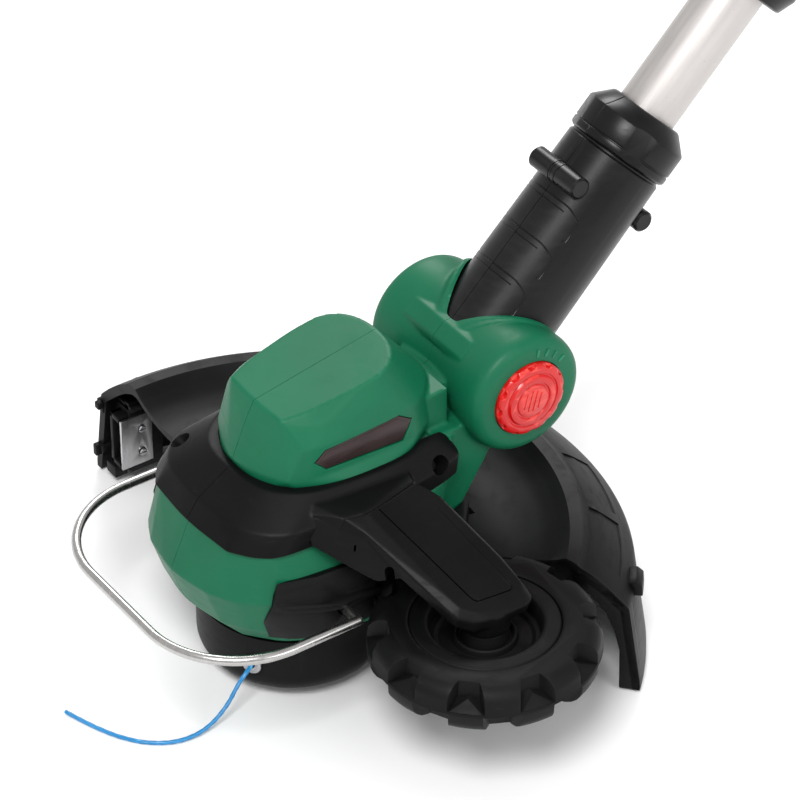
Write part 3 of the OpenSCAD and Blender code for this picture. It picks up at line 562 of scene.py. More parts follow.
# SKIRT, DOME and BAND are levels from the bottom up: +x half outline, height, which of its points
# are corners and, for the dome, the slope along y. CORE is the outline of the room inside the band.
SKIRT = [([(0, -41), (21, -37), (35, -24), (41, -4), (41, 26), (30, 44), (0, 50)], 35, (1,)),
         ([(0, -50.3), (21, -47), (34, -38), (44, -20), (43, 20), (34, 44), (0, 55)], 46, (1,)),
         ([(0, -56.2), (20, -53), (33, -45.5), (45, -30), (49, -14), (46, 8), (42, 26), (34, 48), (0, 58)],
          63, (1,)),
         ([(0, -47), (24, -45), (35, -37.5), (39, -28), (40, 20), (34, 52), (0, 60)], 84, (1,))]
CORE = [(0, -30), (20, -28), (29, -18), (31, 0), (31, 40), (26, 60), (0, 62)]
DOME = [([(0, -24.5), (14.9, -22.4), (26, -13.2), (31, -2), (34, 12.3), (33.6, 27), (28.5, 40), (14, 57),
          (0, 60)], 99, (2,), 0),
        ([(0, -26.6), (12, -23.6), (24.6, -17.4), (28.6, -7), (29.8, 5), (30, 20), (29.8, 34), (27.5, 43),
          (18, 54), (0, 62)], 104.2, (2,), 0),
        ([(0, -21), (14, -18.2), (26.6, -11.3), (28.4, -5), (28.9, 10), (28.8, 28), (28, 37), (23, 47),
          (12, 56), (0, 58)], 118, (2,), 0),
        ([(0, -17.2), (19.6, -14.5), (24.6, -4), (26.4, 10), (26.8, 24), (25, 35), (17, 44), (0, 48)],
         126, (1,), 0),
        ([(0, -16.2), (17.5, -15.2), (20.5, -4), (22, 8), (23, 21), (21.4, 31), (13.4, 38.5), (0, 41)],
         127.9, (1,), 0.18)]
BAND = [([(0, -49), (26, -47), (36, -39.5), (41, -29), (42, 0), (42, 20), (37, 50), (30, 56), (0, 56)],
         83, (1,)),
        ([(0, -42.8), (15, -42), (27, -39), (37, -30.5), (41, -18), (42, 20), (37, 50), (30, 58), (0, 58)],
         92, ()),
        ([(0, -28.5), (14, -27.5), (24, -22), (32, -10), (35, 8), (35, 30), (30, 48), (22, 54), (0, 54)],
         101.1, ())]
DOME_BASE = DOME[0][0]
SEAM = 0.13                             # each half shell ends this far short of the parting plane
ROUGH_SEAM = -3                         # until it is smoothed, it reaches this far past it
NECK_ROOM = ((-28.6, 30, 44), (28.6, 69, 94))    # the guard's opening for the neck block


def side_mask(side, low):
    """A block over the other half, which reaches low into this one."""
    x = (-200, low) if side > 0 else (-low, 200)
    return block((x[0], -200, -20), (x[1], 900, 900))


def stack(levels, scale=1.0):
    """The hull of a list of levels, scaled in plan where it makes room for a neighbour."""
    return hull([p for outline, z, corners, *slope in levels
                 for p in level(outline, z, corners, *slope, scale=scale)])


def column(outline, z0, z1, corners=(), scale=1.0):
    """An upright solid over one outline."""
    return stack([(outline, z0, corners), (outline, z1, corners)], scale)


def wheel_room():
    """The space round the wheel that the collar leaves."""
    return rod(WHEEL - Vector((0, 0, 40)), WHEEL + Vector((0, 0, 60)), 47, 128)


# ---------- housing ----------


def barrel_radius(x):
    """Swells from the waist to the ends."""
    return 22.6 + 3.4 * math.sin(math.radians(min(abs(x), 30) * 3)) ** 2


def barrel():
    """The pivot barrel along x with soft waist, rounded ends and the collar's lobes."""
    end = [(25.6, 33.4), (25.1, 34.6), (24.2, 35.7), (23, 36.5), (21.5, 36.9), (19.4, 37), (0, 37)]
    waist = [(barrel_radius(x), x) for x in [-31 + 62 * k / 40 for k in range(41)]]
    body = lathe([(r, -x) for r, x in reversed(end)] + waist + end, AT_PIVOT @ ACROSS, 160)
    collar_body = rod((0, 0, 0), (0, 0, 40), 24.9, 128, shaft())
    lobes = [(0, -27), (26, -27), (29, -24.4), (30.4, -22), (31, -19.6), (30.8, -17.5), (29.4, -14.4),
             (27, -11), (25.4, -8), (24.2, -5), (23.7, -2.4), (23.6, 0), (23.7, 2.4), (24.2, 5), (24.8, 8),
             (25.4, 11), (25.9, 14.4), (26.3, 17.5), (26.5, 19.6), (26.4, 22), (26.1, 24.4), (25, 27),
             (0, 27)]
    boolean(collar_body, [lathe(lobes, AT_PIVOT @ ACROSS, 160)], "INTERSECT")
    section = ((-3.8, 25.3), (3.8, 25.3), (-6, 23.2), (6, 23.2), (-6, 15), (6, 15))
    rib = hull([(x, y, z) for x in (-19.5, 18) for y, z in section], AT_PIVOT @ turned(43, "X"))
    return [body, collar_body, rib]


def neck_block():
    """The solids that carry the barrel behind the dome."""
    core = ((40, 84), (40, 113.4), (59.5, 84), (59.5, 114.9))
    flanks = [(27, y, z) for y in (50, 84) for z in (96, 98)] \
        + [(28, y, z) for y in (46, 74) for z in (78, 80)] + [(28, y, z) for y in (40, 59) for z in (54, 56)]
    return [hull([(x, y, z) for x in (-22, 22) for y, z in core]), block((-15, 40, 84), (15, 80, 112)),
            hull(flanks + mirrored(flanks, -1))]


def knuckle_room():
    """Space that the sleeve's knuckle sweeps when the head tilts."""
    drum = rod((-23.6, 0, 0), (23.6, 0, 0), 19.4, 128, AT_PIVOT)
    ends = [rod((0, 0, 0), (0, 0, 60), 23, 96, AT_PIVOT @ turned(-SHAFT_LEAN - a, "X")) for a in (0, TILT)]
    swept = [(0, 0)] + [(-60 * math.sin(math.radians(a)), 60 * math.cos(math.radians(a)))
                        for a in range(0, TILT + 1, 5)]
    return union([drum] + ends + [prism(swept, -23, 23, AT_PIVOT @ ACROSS)])


BADGE_AT = Matrix.Translation((29.3, 15, 111.5)) @ turned(84.3, "Y") @ turned(90, "Z")
BADGE_OUT = [(-21.9, 0), (-17.4, 3.9), (16.8, 5.8), (22.7, 1.9), (18, -5.6), (-17.2, -4.2)]


def offset(outline, d):
    """A convex outline with each side moved out by d."""
    n = len(outline)
    pts = [Vector(p) for p in outline]
    area = sum(pts[i].x * pts[(i + 1) % n].y - pts[(i + 1) % n].x * pts[i].y for i in range(n))
    s = 1 if area > 0 else -1
    out = []
    for i in range(n):
        a, b, c = pts[i - 1], pts[i], pts[(i + 1) % n]
        u, v = (b - a).normalized(), (c - b).normalized()
        nu, nv = Vector((u.y, -u.x)) * s, Vector((v.y, -v.x)) * s
        k = 1 + nu.dot(nv)
        out.append(tuple(b + (nu + nv) * (d / k)))
    return out


def ticks():
    """Raised index marks round the button on the barrel's near end."""
    out = []
    for k in range(4):
        out.append(hull([(x, t, r) for x in (36, 37.35) for r in (18.4, 21.6) for t in (-0.55, 0.55)],
                        AT_PIVOT @ turned(-12 - 13 * k, "X")))
    return out


def housing(side):
    """One half of the green head housing."""
    name = "left" if side > 0 else "right"
    solids = [stack(SKIRT), column(CORE, 83.5, 95.9), column(DOME_BASE, 95, 100, (2,), 0.94),
              stack(DOME[:2]), stack(DOME[1:])]
    body = voxel(join(solids + neck_block() + barrel()), 0.75)
    cut(body, side_mask(side, ROUGH_SEAM))
    soften(body, 2, 0.4)
    spool_room = lathe([(0, 30), (33, 30), (33, 54), (18.4, 54), (18.4, 116), (0, 116)], None, 96)
    x0, x1 = (30, 45) if side > 0 else (-45, -33)
    button_room = rod((x0, 0, 0), (x1, 0, 0), 16.4, 96, AT_PIVOT)
    tools = [knuckle_room(), side_mask(side, SEAM), button_room, spool_room]
    if side > 0:
        tools.append(prism(offset(BADGE_OUT, 0.5), -1.5, 8, BADGE_AT))
    else:
        screw_places = ((-36, 48), (44, 52), (53, 91), (64, 72))
        tools += [rod((-90, y, z), (-17, y, z), 3.4) for y, z in screw_places]
    cut(body, *tools)
    if side > 0:
        body = join([body] + ticks())
    shade(body, 40)
    return settle(body, "housing_shell_" + name, "housing_" + name, GREEN)


housing(1)
housing(-1)

badge_edge = bevelled(prism(BADGE_OUT, -1.4, -0.35, BADGE_AT), 0.25)
badge_face = bevelled(prism(offset(BADGE_OUT, -1.1), -0.5, -0.15, BADGE_AT), 0.15)
settle(shade(join([badge_edge, badge_face])), "blank_badge", "badge_plate", BADGE)

# ---------- band ----------

# Corners of the flat deck on the near half, which the arm starts from.
DECK = [(32, -14.1, 98.5), (48, -7.1, 97), (50.4, 2.5, 97.2), (44.6, 28.3, 97), (34.1, 31.1, 97.1),
        (33.2, 10, 98.4), (35.3, -17.2, 95.7), (47.6, -9.6, 92), (36, -12, 88), (46, -6, 87.8), (48, 4, 88),
        (43.8, 30, 88), (36, 34, 88)]


def well(at, out, r0, r1):
    """A conical recess for a screw, opening along out."""
    deep = 12
    return lathe([(0, 0), (r0, 0), (r1, deep), (0, deep)], facing(at, out), 48)


def band(side):
    """One half of the black band, the near one with the deck that the arm starts from."""
    name = "left" if side > 0 else "right"
    body = stack(BAND)
    if side > 0:
        body = join([body, hull(DECK)])
    body = voxel(body, 0.7)
    cut(body, side_mask(side, ROUGH_SEAM))
    soften(body, 2, 0.4)
    tools = [side_mask(side, SEAM), column(CORE, 70, 96.2, (), 1.006),
             column(DOME_BASE, 90, 110, (2,), 0.955),
             hull(level(DOME_BASE, 98.6, (2,), scale=1.012) + level(DOME[1][0], 105.2, (2,), scale=1.015)),
             block((-90, -90, 70), (90, 90, 84.1)), block((-28.2, 40, 80), (28.2, 80, 120)),
             rod((-60, 0, 0), (60, 0, 0), 28, 96, AT_PIVOT)]
    if side < 0:
        tools.append(well((-29, -27, 89), (-0.5, -0.42, 0.76), 2.4, 5.6))
    tools.append(well((side * 32, 45, 89.5), (side * 0.86, 0.1, 0.5), 2, 6.4))
    cut(body, *tools)
    shade(body, 40)
    return settle(body, "band_shell_" + name, "band_" + name, BLACK)


band(1)
band(-1)

# ---------- arm ----------

# Corners of the arm's convex solids: the sloping arm, the flank in front of it and its root.
ARM = [(50.4, 2.5, 97.1), (44.6, 28.3, 96.9), (51.1, 33.2, 93.3), (80, 42, 78.3), (92, 44.5, 72.2),
       (95.5, 43, 70.7), (98, 38, 70.1), (98, 19, 72.3), (94.6, 14.5, 74.4), (52.7, -3.8, 94.3),
       (61.6, 0.9, 89.5), (72.8, 4.6, 83.6), (83.5, 7.4, 78.1), (93.6, 10.4, 72.8), (96.6, 12.1, 71.2),
       (99.6, 17.1, 69.2), (100.7, 20.6, 68.7), (101.3, 26, 68.3), (101.3, 34, 67.8), (101.1, 38.4, 67.6),
       (100.5, 41.7, 67.3), (99.2, 44.6, 67.2), (96.9, 46.6, 67.2), (80, 44.6, 75.5), (51, 36, 90.5),
       (71.7, 2.5, 79), (83.8, 7.2, 72.6), (95.6, 11.3, 66.4), (99.5, 17.2, 64), (101.4, 26, 64),
       (100.6, 41.4, 64), (96.8, 46.6, 64), (80, 44.6, 68), (50, 36, 80), (44, 20, 80), (50, 6, 80)]
FLANK = [(35.5, -17.5, 95.7), (47.6, -9.6, 92), (52.5, -3.7, 94.1), (61.6, 1, 89.5), (72, 2.3, 79.3),
         (67.4, -3.4, 77.5), (66.2, -4.9, 77), (55.4, -10.7, 82), (42.6, -19, 86), (41.2, -17, 83.6),
         (40, -4, 84), (44, 12, 84), (60, 12, 78), (72, 12, 76), (46, 8, 92)]
ROOT = [(47.8, -7, 96.8), (50.4, 2.5, 97), (50.2, 7.4, 96.8), (52.7, -3.8, 94.2), (47.6, -9.6, 92),
        (61.6, 0.9, 89.4), (61, 7, 91.5), (46, 5, 85), (60, 8, 84)]
SLOT_TURN = turned(-47.8, "Z") @ turned(59, "Y")    # turns z square to the flank
TOP_AT = (49.9, 7, 97)                  # a point of the arm's top
TOP_FALL = (0.432 / 0.895, 0.108 / 0.895)    # how fast the top falls along x and y


def on_arm(x, y, lift=0.0):
    """A point over the arm's sloping top."""
    return (x, y, TOP_AT[2] - TOP_FALL[0] * (x - TOP_AT[0]) - TOP_FALL[1] * (y - TOP_AT[1]) + lift)


def groove(points, wide, deep, lift):
    """Square strips that follow points over the arm's top, from lift above them."""
    out = []
    for a, b in zip(points, points[1:]):
        a, b = Vector(on_arm(*a)), Vector(on_arm(*b))
        n = Vector((0, 0, 1)).cross(b - a).normalized() * wide / 2
        out.append(hull([q + n * s + Vector((0, 0, z)) for q in (a, b) for s in (-1, 1)
                         for z in (lift, lift - deep)]))
    return out


def slot(matrix, ends, r, low, high, sides):
    """A cutter for a slot with round ends."""
    return hull([(x + u, y + v, z) for x, y in ends for u, v in circle(r, sides)
                 for z in (low, high)], matrix)


def wheel_arm():
    """The sloping arm from the band's deck to the wheel's axle, with its hook slot."""
    axle_boss = rod((0, 0, 19), (0, 0, 28), 10, 64, AT_WHEEL)
    body = voxel(join([hull(ARM), hull(FLANK), hull(ROOT), axle_boss]), 0.5)
    soften(body, 6, 0.5)
    tools = groove([(50.2, 7.4), (71, 14.1), (91.8, 20.6), (93.4, 21.4), (94.5, 22.8)], 0.7, 2.6, 1.8)
    tools += groove([(94.5, 22.8), (94.4, 37.6), (94, 39.2), (92.8, 39.8)], 0.5, 2.2, 1.6)
    ledge = ((93, 40.2, -0.15), (92.4, 38.8, -0.55), (57, 29.6, -0.1), (57, 31, -0.05),
             (93, 40.2, 2), (92.4, 38.8, 2), (57, 29.6, 2), (57, 31, 2))
    tools += [hull([on_arm(x, y, lift) for x, y, lift in ledge]),
              slot(Matrix.Translation((68, 0.1, 81)) @ SLOT_TURN, ((0, 0), (11, 2.9)), 1.9, -8, 6, 32),
              slot(Matrix.Translation((55, -6.9, 87)) @ SLOT_TURN, ((-0.9, 0), (0.9, 0)), 0.45, -5, 3, 12),
              stack(BAND, 1.002), hull(DECK), stack(SKIRT, 1.01), rod((0, 0, 0), (0, 0, 31), 4, 48, AT_WHEEL)]
    cut(body, *tools)
    shade(body, 40)
    return settle(body, "wheel_arm_shell", "wheel_arm", BLACK)


wheel_arm()

# ---------- wheel ----------

LUGS = 10
LUG_TURN = -9                           # degrees from x to the first notch on the top face


def lug_cut(turn, top):
    """The notch between two lugs on one face of the tyre, less the wedge that stays in it."""
    flip = Matrix.Identity(4) if top else Matrix.Translation((0, 0, TYRE_HIGH)) @ UPSIDE_DOWN
    m = AT_WHEEL @ flip @ turned(turn, "Z")
    both = (-1, 1)
    room = hull([(37.4, s * 3.9, 23) for s in both] + [(49, s * 9.4, z) for s in both for z in (10.8, 23)]
                + [(38, s * 4.2, 11.2) for s in both], m)
    wedge = hull([(36, s * 4.6, 10.4) for s in both] + [(37, s * 4.2, 13.2) for s in both]
                 + [(37, 0, 15), (40.4, 0, 14.7), (45.2, 0, 11.2)]
                 + [(44.9, s * 6.8, z) for s in both for z in (10, 10.7)], m)
    return cut(room, wedge)


def tyre():
    """The tyre, with the lugs of its two faces half a lug apart."""
    prof = [(29.9, 1.2), (31, 0.3), (39, 0.2), (41.6, 1), (43.6, 2.6), (44.8, 4.4), (45.5, 6),
            (45.88, 9.8), (45.88, 10.2), (45.5, 10.8), (45.3, 15.2), (44.8, 16.6), (43.6, 18.4),
            (41.6, 20), (39, 20.8), (31, 20.8), (29.9, 20.2)]
    body = lathe(prof, AT_WHEEL, 240)
    pitch = 360 / LUGS
    cut(body, join([lug_cut(LUG_TURN + pitch * (k + (0 if top else 0.5)), top)
                    for k in range(LUGS) for top in (True, False)]))
    bevelled(body, 0.4, 2, 30)
    shade(body, 32)
    return settle(body, "tyre_lugs", "wheel_tyre", TREAD)


def wheel_hub():
    """The stepped hub with its dished web."""
    prof = [(4.1, 4.4), (8.6, 4.4), (8.6, 5.6), (9.6, 5.6), (9.6, 7), (22, 7), (22, 4.2), (23, 3.2),
            (28.6, 3.2), (29.7, 4), (29.7, 19.4), (28.9, 20.3), (24.2, 20.3), (22.8, 19.8), (22, 18.6),
            (21.4, 13.2), (19.6, 13.2), (18.8, 12.4), (18.2, 12), (13, 12), (12.6, 14.2), (12.1, 14.8),
            (11.4, 14.8), (10.8, 14.2), (10.6, 13), (10.2, 12.6), (9.4, 12.6), (9, 17.6), (8.6, 18.3),
            (4.1, 18.3)]
    body = bevelled(lathe(prof, AT_WHEEL, 192), 0.3, 2, 30)
    return settle(body, "wheel_hub_steps", "wheel_hub", TREAD)


tyre()
wheel_hub()


def blade_screws():
    """The two slotted screws that hold the cutter blade in its box."""
    parts = []
    for z in (16, 28):
        head = rod((-122.3, 6, z), (-121.4, 6, z), 1.7, 32, None, 0.3)
        cut(head, block((-121.7, 4, z - 0.3), (-121, 8, z + 0.3)))
        parts += [head, rod((-126.4, 6, z), (-122.2, 6, z), 1.3, 32)]
    return settle(shade(join(parts)), "blade_screw_heads", "blade_screws", STEEL)


blade_screws()

# ---------- sleeve, nut and button ----------


def on_sleeve(angle, z):
    """A point on the sleeve's tapered surface, as a turn round the shaft and a height up it."""
    r = 22.4 - 1.4 * z / 95.5
    return shaft() @ Vector((r * math.cos(math.radians(angle)), r * math.sin(math.radians(angle)), z))


def step_grooves(side):
    """Curved step lines and short marks that repeat down the sleeve."""
    front = -90                         # the parting line's place round the shaft
    tools = []
    for top in (69.5, 51.8, 34.2):
        for drop, last, r in ((0, -40, 0.36), (2.6, -58, 0.28)):
            end = last if side > 0 else -146
            turn = [min(front, end) + t * abs(end - front) / 12 for t in range(13)]
            path = [on_sleeve(a, top - drop - 3 * max(0, (a + 62) / 22) ** 2) for a in turn]
            tools.append(sweep(path, lambda i, r=r: circle(r, 8)))
        if side > 0:
            mark = [on_sleeve(a, top - down) for a, down in ((-38, 3.6), (-38, 8), (-38, 12), (-41.5, 12.2))]
            tools.append(sweep(mark, lambda i: circle(0.34, 8)))
    return tools


def sleeve(side):
    """One half of the sleeve, with its knuckle on the tilt axis and its cross pins."""
    name = "left" if side > 0 else "right"
    body = lathe([(0, 0), (22.4, 0), (21.02, 94.6), (20.4, 95.4), (20.1, 95.4), (20.1, 96.1), (14, 96.1),
                  (14, 92), (0, 92)], shaft(), 160)
    more = [rod((-23.2, 0, 0), (23.2, 0, 0), 18.8, 96, AT_PIVOT),
            rod((-29.8, 0, 0), (29.8, 0, 0), 9, 64, AT_PIVOT)]
    for y, z in ((-21.5, 78), (21.5, 80.6)):
        more.append(rod((-14.5, y, z), (14.5, y, z), 4.5, 64, shaft(), 0.9))
        more += [rod((x, y, z), (x + 1.2, y, z), 4.72, 64, shaft()) for x in (-2.4, 1.2)]
    boolean(body, more, "UNION")
    bore = rod((0, 0, 24), (0, 0, 120), 16.4, 96, shaft())
    cut(body, side_mask(side, SEAM), bore, rod((-40, 0, 0), (40, 0, 0), 5.2, 64, AT_PIVOT))
    cut(body, *step_grooves(side))
    shade(body, 30)
    return settle(body, "sleeve_shell_" + name, "sleeve_" + name, SATIN)


sleeve(1)
sleeve(-1)


def nut(node, at, flip, nose):
    """A chamfered clamp nut with flats, a waist groove and a parting line."""
    high = 21
    m = shaft(at + high) @ UPSIDE_DOWN if flip else shaft(at)
    prof = [(12.9, 0), (20.9, 0), (22, 0.9), (22.2, 1.6), (22.2, 3.6), (21.8, 3.9), (21.8, 4.3), (22.2, 4.6),
            (22.2, 13.6), (21.9, 14.3), (nose + 0.5, 20.5), (nose - 0.4, high), (12.9, high)]
    body = lathe(prof, m, 144)
    tools = [block((21.6, -12, -1), (30, 12, high + 1), m @ turned(a, "Z")) for a in (-124, -34, 56, 146)]
    for side in (-1, 1):
        tools += [rod((0, side * 22.4, -1), (0, side * 22.4, 15), 0.4, 12, m),
                  rod((0, side * 22.3, 14.2), (0, side * (nose + 0.4), 20.8), 0.4, 12, m)]
    cut(body, *tools)
    bevelled(body, 0.25, 2, 30)
    return settle(body, node + "_shell", node, SATIN)


nut("clamp_nut", 96.3, False, 15.4)
nut("upper_nut", 178, True, 19)


def tilt_button():
    """The red button on the tilt axis, with a scalloped rim and four ribs on its face."""
    prof = [(0, 35.2), (15.6, 35.2), (16, 35.5), (16, 38.4), (15.4, 39.2), (14.2, 39.6), (12.4, 39.6),
            (12, 39.1), (11.5, 39.1), (11.2, 39.7), (10.8, 40.2), (8.3, 40.2), (8, 39.7), (7.4, 39.7),
            (7.1, 40.2), (0, 40.2)]
    body = lathe(prof, AT_PIVOT @ ACROSS, 144)
    cut(body, *[rod((38, y, z), (42, y, z), 2.3, 32, AT_PIVOT) for y, z in circle(16.8, 12)])
    bevelled(body, 0.2, 2, 30)
    ribs = [block((39.8, y - 0.4, -half), (40.55, y + 0.4, half), AT_PIVOT @ turned(-14, "X"))
            for y, half in ((-3.45, 3.4), (-1.15, 4.6), (1.15, 4.6), (3.45, 3.4))]
    body = join([body] + [bevelled(rib, 0.2, 2) for rib in ribs])
    return settle(shade(body), "tilt_button_face", "tilt_button", RED)


tilt_button()

# ---------- guard ----------

COLLAR = [(42.3, -34.6, 73.6), (47.2, -19, 73.4), (48.4, -3.7, 72), (48.6, 20, 72), (43.4, -36.8, 64.7),
          (37.4, -37.9, 52.6), (38.2, -36, 45.2), (44, -30, 45.2), (46, -31.4, 62.4), (51.2, -20, 46.2),
          (50.4, -20, 60), (51.8, -4, 60), (52, 34, 46.2), (51.8, 34, 60), (48.6, 34, 71), (34, 34, 46.2)]
SHELF = [(43.6, -36.4, 64.2), (46.6, -31.6, 62.8), (51.2, -21, 61.6), (54, -12, 61), (54, 6, 61),
         (42, -20, 61)]


def collar(side):
    """One flank of the guard's collar, cut crisply round the lower housing and the wheel."""
    body = hull(mirrored(COLLAR, side))
    shelf = hull(mirrored(SHELF + [(x, y, z - 2.4) for x, y, z in SHELF], side))
    cut(shelf, stack(SKIRT, 1.004))
    cut(body, stack(SKIRT, 1.004), rod((side * 44, -10, 57), (side * 60, -10, 57), 3.1, 48))
    if side > 0:
        cut(body, wheel_room())
    return [bevelled(body, 0.5), bevelled(shelf, 0.4)]


def rear_collar(side):
    """The collar's rear run behind the lower housing, lower on the near side, beyond the arm."""
    top = 70 if side < 0 else 61
    body = hull(mirrored([(52, 30, 46), (52, 46, 46), (26, 68, 46), (51, 30, 60), (51, 46, 60), (26, 68, 60),
                          (48, 30, top), (45, 46, top), (26, 66, top), (30, 30, 46), (26, 50, 46)], side))
    cut(body, stack(SKIRT, 1.006), block(*NECK_ROOM))
    if side > 0:
        cut(body, wheel_room())
    return [bevelled(body, 0.4)]


# (radius, height) outlines, which arc() sweeps round z: the sheet with its ridge and rim, the panel
# cutter, the wall beside the wheel, the rib at the near end, and the lug on the rim.
BOWL = curve([(46, 60), (62, 55), (84, 51.8), (98, 53.6), (106, 57)], 5) + [(110, 60), (115, 60.3)] \
    + curve([(117, 58.6), (122, 55.4), (129, 49.4), (135.4, 43)], 5) \
    + [(136.4, 41.6), (141.8, 5), (141.9, 1), (138.8, 1), (132.8, 40)] \
    + curve([(126, 46.4), (118, 53), (110, 56.2), (100, 51.6), (84, 48.6), (64, 51), (46, 57)], 5)
PANEL = [(118.6, 70), (118.6, 56.9), (123.6, 53.6), (130.6, 47.2), (134, 48), (134, 70)]
WALL = [(60, 40), (60, 53), (84, 50), (100, 53), (110, 58), (118, 55), (130, 46), (130, 40)]
END_RIB = [(141.8, 1), (141.8, 5), (136.4, 41.6), (129, 49.4), (118, 56), (112, 57), (113, 51),
           (120, 46.5), (127, 38), (130.6, 30), (133, 20), (133.4, 1)]
RIM_LUG = [(134, 38), (134, 44.4), (137.2, 44.8), (139.6, 42.6), (140, 38)]
NEAR_END = 42                           # degrees round z from x where the sheet starts, by the wheel
FAR_END = 182                           # and where it ends, by the cutter blade
# Low and high corners of the blocks that make the box round the cutter blade.
BLADE_BOX = [((-127, 0.8, 6), (-123.6, 16.8, 42)), ((-138, 0.8, 8), (-126, 3.2, 40)),
             ((-138, 12, 8), (-126, 14.4, 42)), ((-136, 0.8, 38), (-122, 14.8, 41)),
             ((-131, -4.2, 10), (-124.2, 1, 12.4)), ((-131, -4.2, 33.6), (-124.2, 1, 36)),
             ((-131, -4.2, 10), (-128.8, 1, 36)), ((-139, -5.4, 33), (-134.6, 1, 38.6)),
             ((-137.6, -7.4, 35.4), (-134.6, -4, 38.6)), ((-139.6, -6, 12), (-135, 1, 15.4)),
             ((-139.6, -8, 10), (-137, -5, 15.4)), ((-134, -5, 3.4), (-127, 1, 8.8))]


def wheel_cone(low, high):
    """A cone round the wheel, wider than it by low at the floor and by high at its top."""
    return lathe([(0, -1), (45.9 + low, -1), (45.9 + high, 90), (0, 90)],
                 Matrix.Translation((WHEEL.x, WHEEL.y, 0)), 128)


def guard_sheet():
    """The guard's curved sheet, its wall beside the wheel, end rib, lug and blade box."""
    sheet = arc(BOWL, NEAR_END, FAR_END, 140)
    cut(sheet, wheel_cone(1.8, 4))
    cut(sheet, *[arc(PANEL, start, start + 15, 15) for start in (47, 64.6, 108)])
    wall = arc(WALL, NEAR_END, NEAR_END + 40, 60)
    boolean(wall, [wheel_cone(4.4, 6.8)], "INTERSECT")
    cut(wall, wheel_cone(1.8, 4))
    for piece in (sheet, wall):
        cut(piece, stack(SKIRT, 1.006), block(*NECK_ROOM))
    rib = cut(arc(END_RIB, NEAR_END, NEAR_END + 2.4, 4), wheel_cone(1.8, 4))
    small = [rib, arc(RIM_LUG, 47.6, 52, 8)] + [block(low, high) for low, high in BLADE_BOX]
    return [sheet, wall] + [bevelled(piece, 0.4) for piece in small]


guard = join(guard_sheet() + collar(1) + collar(-1) + rear_collar(1) + rear_collar(-1))
settle(shade(guard, 32), "debris_guard_shell", "debris_guard", BLACK)

# ---------- the other nodes: copies with broken edges and details ----------

# Parts inside the shells keep their CAD shape and only get a finish.
HIDDEN = {"motor_can", "motor_end_cap", "motor_bearings", "motor_shaft", "spool_hub", "line_spool",
          "wound_line", "bump_spring", "wheel_axle", "tilt_lock_gear", "tilt_spring", "sleeve_screws",
          "clamp_collet", "upper_collet", "handle_screws", "trigger_pin", "trigger_spring", "lock_spring",
          "switch_body", "terminal_block", "battery_cells", "latch_spring", "housing_screws"}
FRONT_HANDLE_AT = 330                   # millimetres up the shaft


def rings(matrix, r, low, high, step, wide):
    """Cutters for a row of shallow grooves round a grip."""
    rows = [low + k * step for k in range(int((high - low) / step) + 1)]
    return [lathe([(r, z), (r + 4, z - 0.8), (r + 4, z + wide + 0.8), (r, z + wide)], matrix, 96)
            for z in rows]


def side_block(side, x0, x1, y0, y1, z0, z1):
    """A cutter on one flank of the handle or the battery, in the shaft's frame."""
    return block((min(side * x0, side * x1), y0, z0), (max(side * x0, side * x1), y1, z1), shaft())


def handle_vents(side):
    """Slots across one flank of the rear handle's battery end."""
    return [side_block(side, 29.4, 34, y, y + 3.5, 722, 744) for y in range(-14, 32, 9)]


def handle_wells():
    """Screw recesses in the rear handle's far half."""
    places = ((500, -17), (545, 26), (640, -17), (566, 65), (706, 50), (706, -20))
    return [rod((-8.4, y, z), (-60, y, z), 3.6, 32, shaft()) for z, y in places]


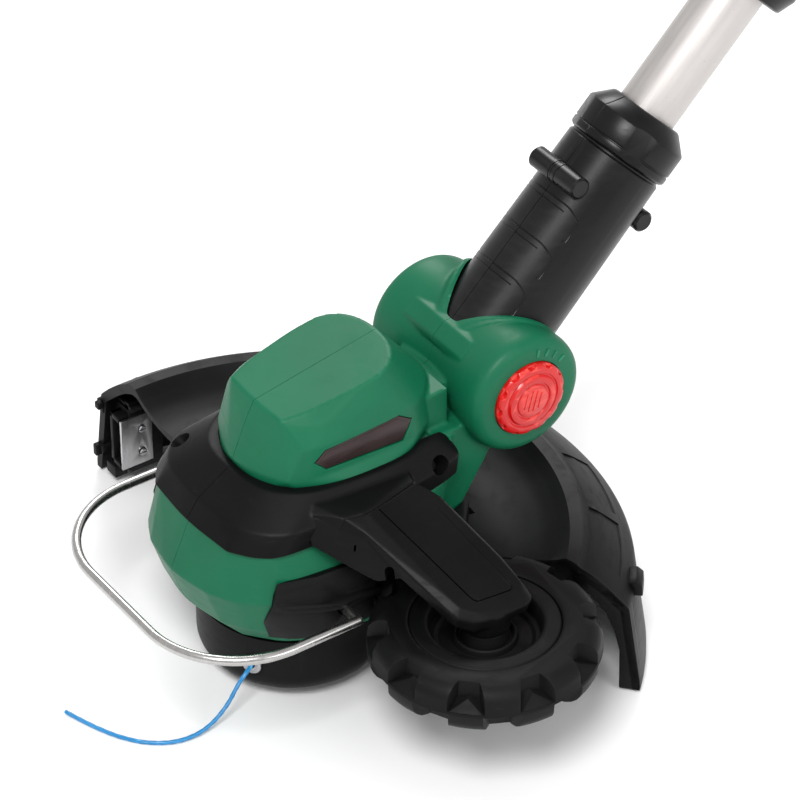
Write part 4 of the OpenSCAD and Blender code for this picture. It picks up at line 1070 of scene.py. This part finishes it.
# Cutters for the nodes whose copies get more than broken edges.
DETAILS = {
    "rear_grip_pad": rings(shaft() @ Matrix.Translation((0, -4, 0)), 19.3, 621, 675, 6, 2),
    "aux_grip": rings(shaft(FRONT_HANDLE_AT) @ Matrix.Translation((0, -116, 0)) @ ACROSS, 10.7, -32, 30,
                      6.8, 2.4),
    "handle_left": handle_vents(1),
    "handle_right": handle_vents(-1) + handle_wells(),
    "battery_case": [side_block(s, 30, 34, -17, 39, z, z + 2.2)
                     for s in (-1, 1) for z in (770, 777, 784, 791)],
    "battery_lid": [block((-22, -18, 819.3), (22, 40, 824), shaft())],
}
done = {n for o in bpy.data.objects for n in list(o.get("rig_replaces", []))}
for node, cad in frame["nodes"].items():
    if node in done:
        continue
    finish = FINISH[SLOT_OF[node]]
    if node in HIDDEN:
        for place in cad.material_slots:
            place.material = finish
        continue
    piece = copy_node(node)
    if node in DETAILS:
        cut(piece, *DETAILS[node])
    bevelled(piece, 0.5)
    settle(piece, node + "_skin", node, finish)

# ---------- floor and light ----------

far = 12000
floor = make("floor", [(-far, -far, -0.2), (far, -far, -0.2), (far, far, -0.2), (-far, far, -0.2)],
             [(0, 1, 2, 3)])
paper = Nodes("floor_paper")
mottle = paper.ramp(paper.noise(6, 3), 0.3, 0.7, 0, 1)
paper.link(paper.mix(mottle, (0.88, 0.88, 0.88, 1), (0.9, 0.9, 0.9, 1)), paper.bsdf.inputs["Base Color"])
paper.bsdf.inputs["Roughness"].default_value = 0.9
floor.data.materials.append(paper.mat)

world = bpy.data.worlds.new("studio")
world.use_nodes = True
world.node_tree.nodes["Background"].inputs[0].default_value = (1, 1, 1, 1)
world.node_tree.nodes["Background"].inputs[1].default_value = 0.72
bpy.context.scene.world = world
bpy.context.scene.view_settings.view_transform = "Standard"


def area(name, at, to, size, power):
    """A round area lamp at a place in metres, aimed at another."""
    lamp = bpy.data.lights.new(name, "AREA")
    lamp.shape = "DISK"
    lamp.size = size
    lamp.energy = power
    obj = link(name, lamp)
    obj.location = at
    obj.rotation_euler = (Vector(to) - Vector(at)).to_track_quat("-Z", "Y").to_euler()


area("key", (0.9, -0.9, 1.9), (0, 0.05, 0.1), 0.8, 36)
area("fill", (1.7, 0.4, 1.0), (0, 0.05, 0.1), 1.0, 8)
area("rim", (-1.2, 0.9, 1.3), (0, 0.1, 0.1), 0.8, 16)
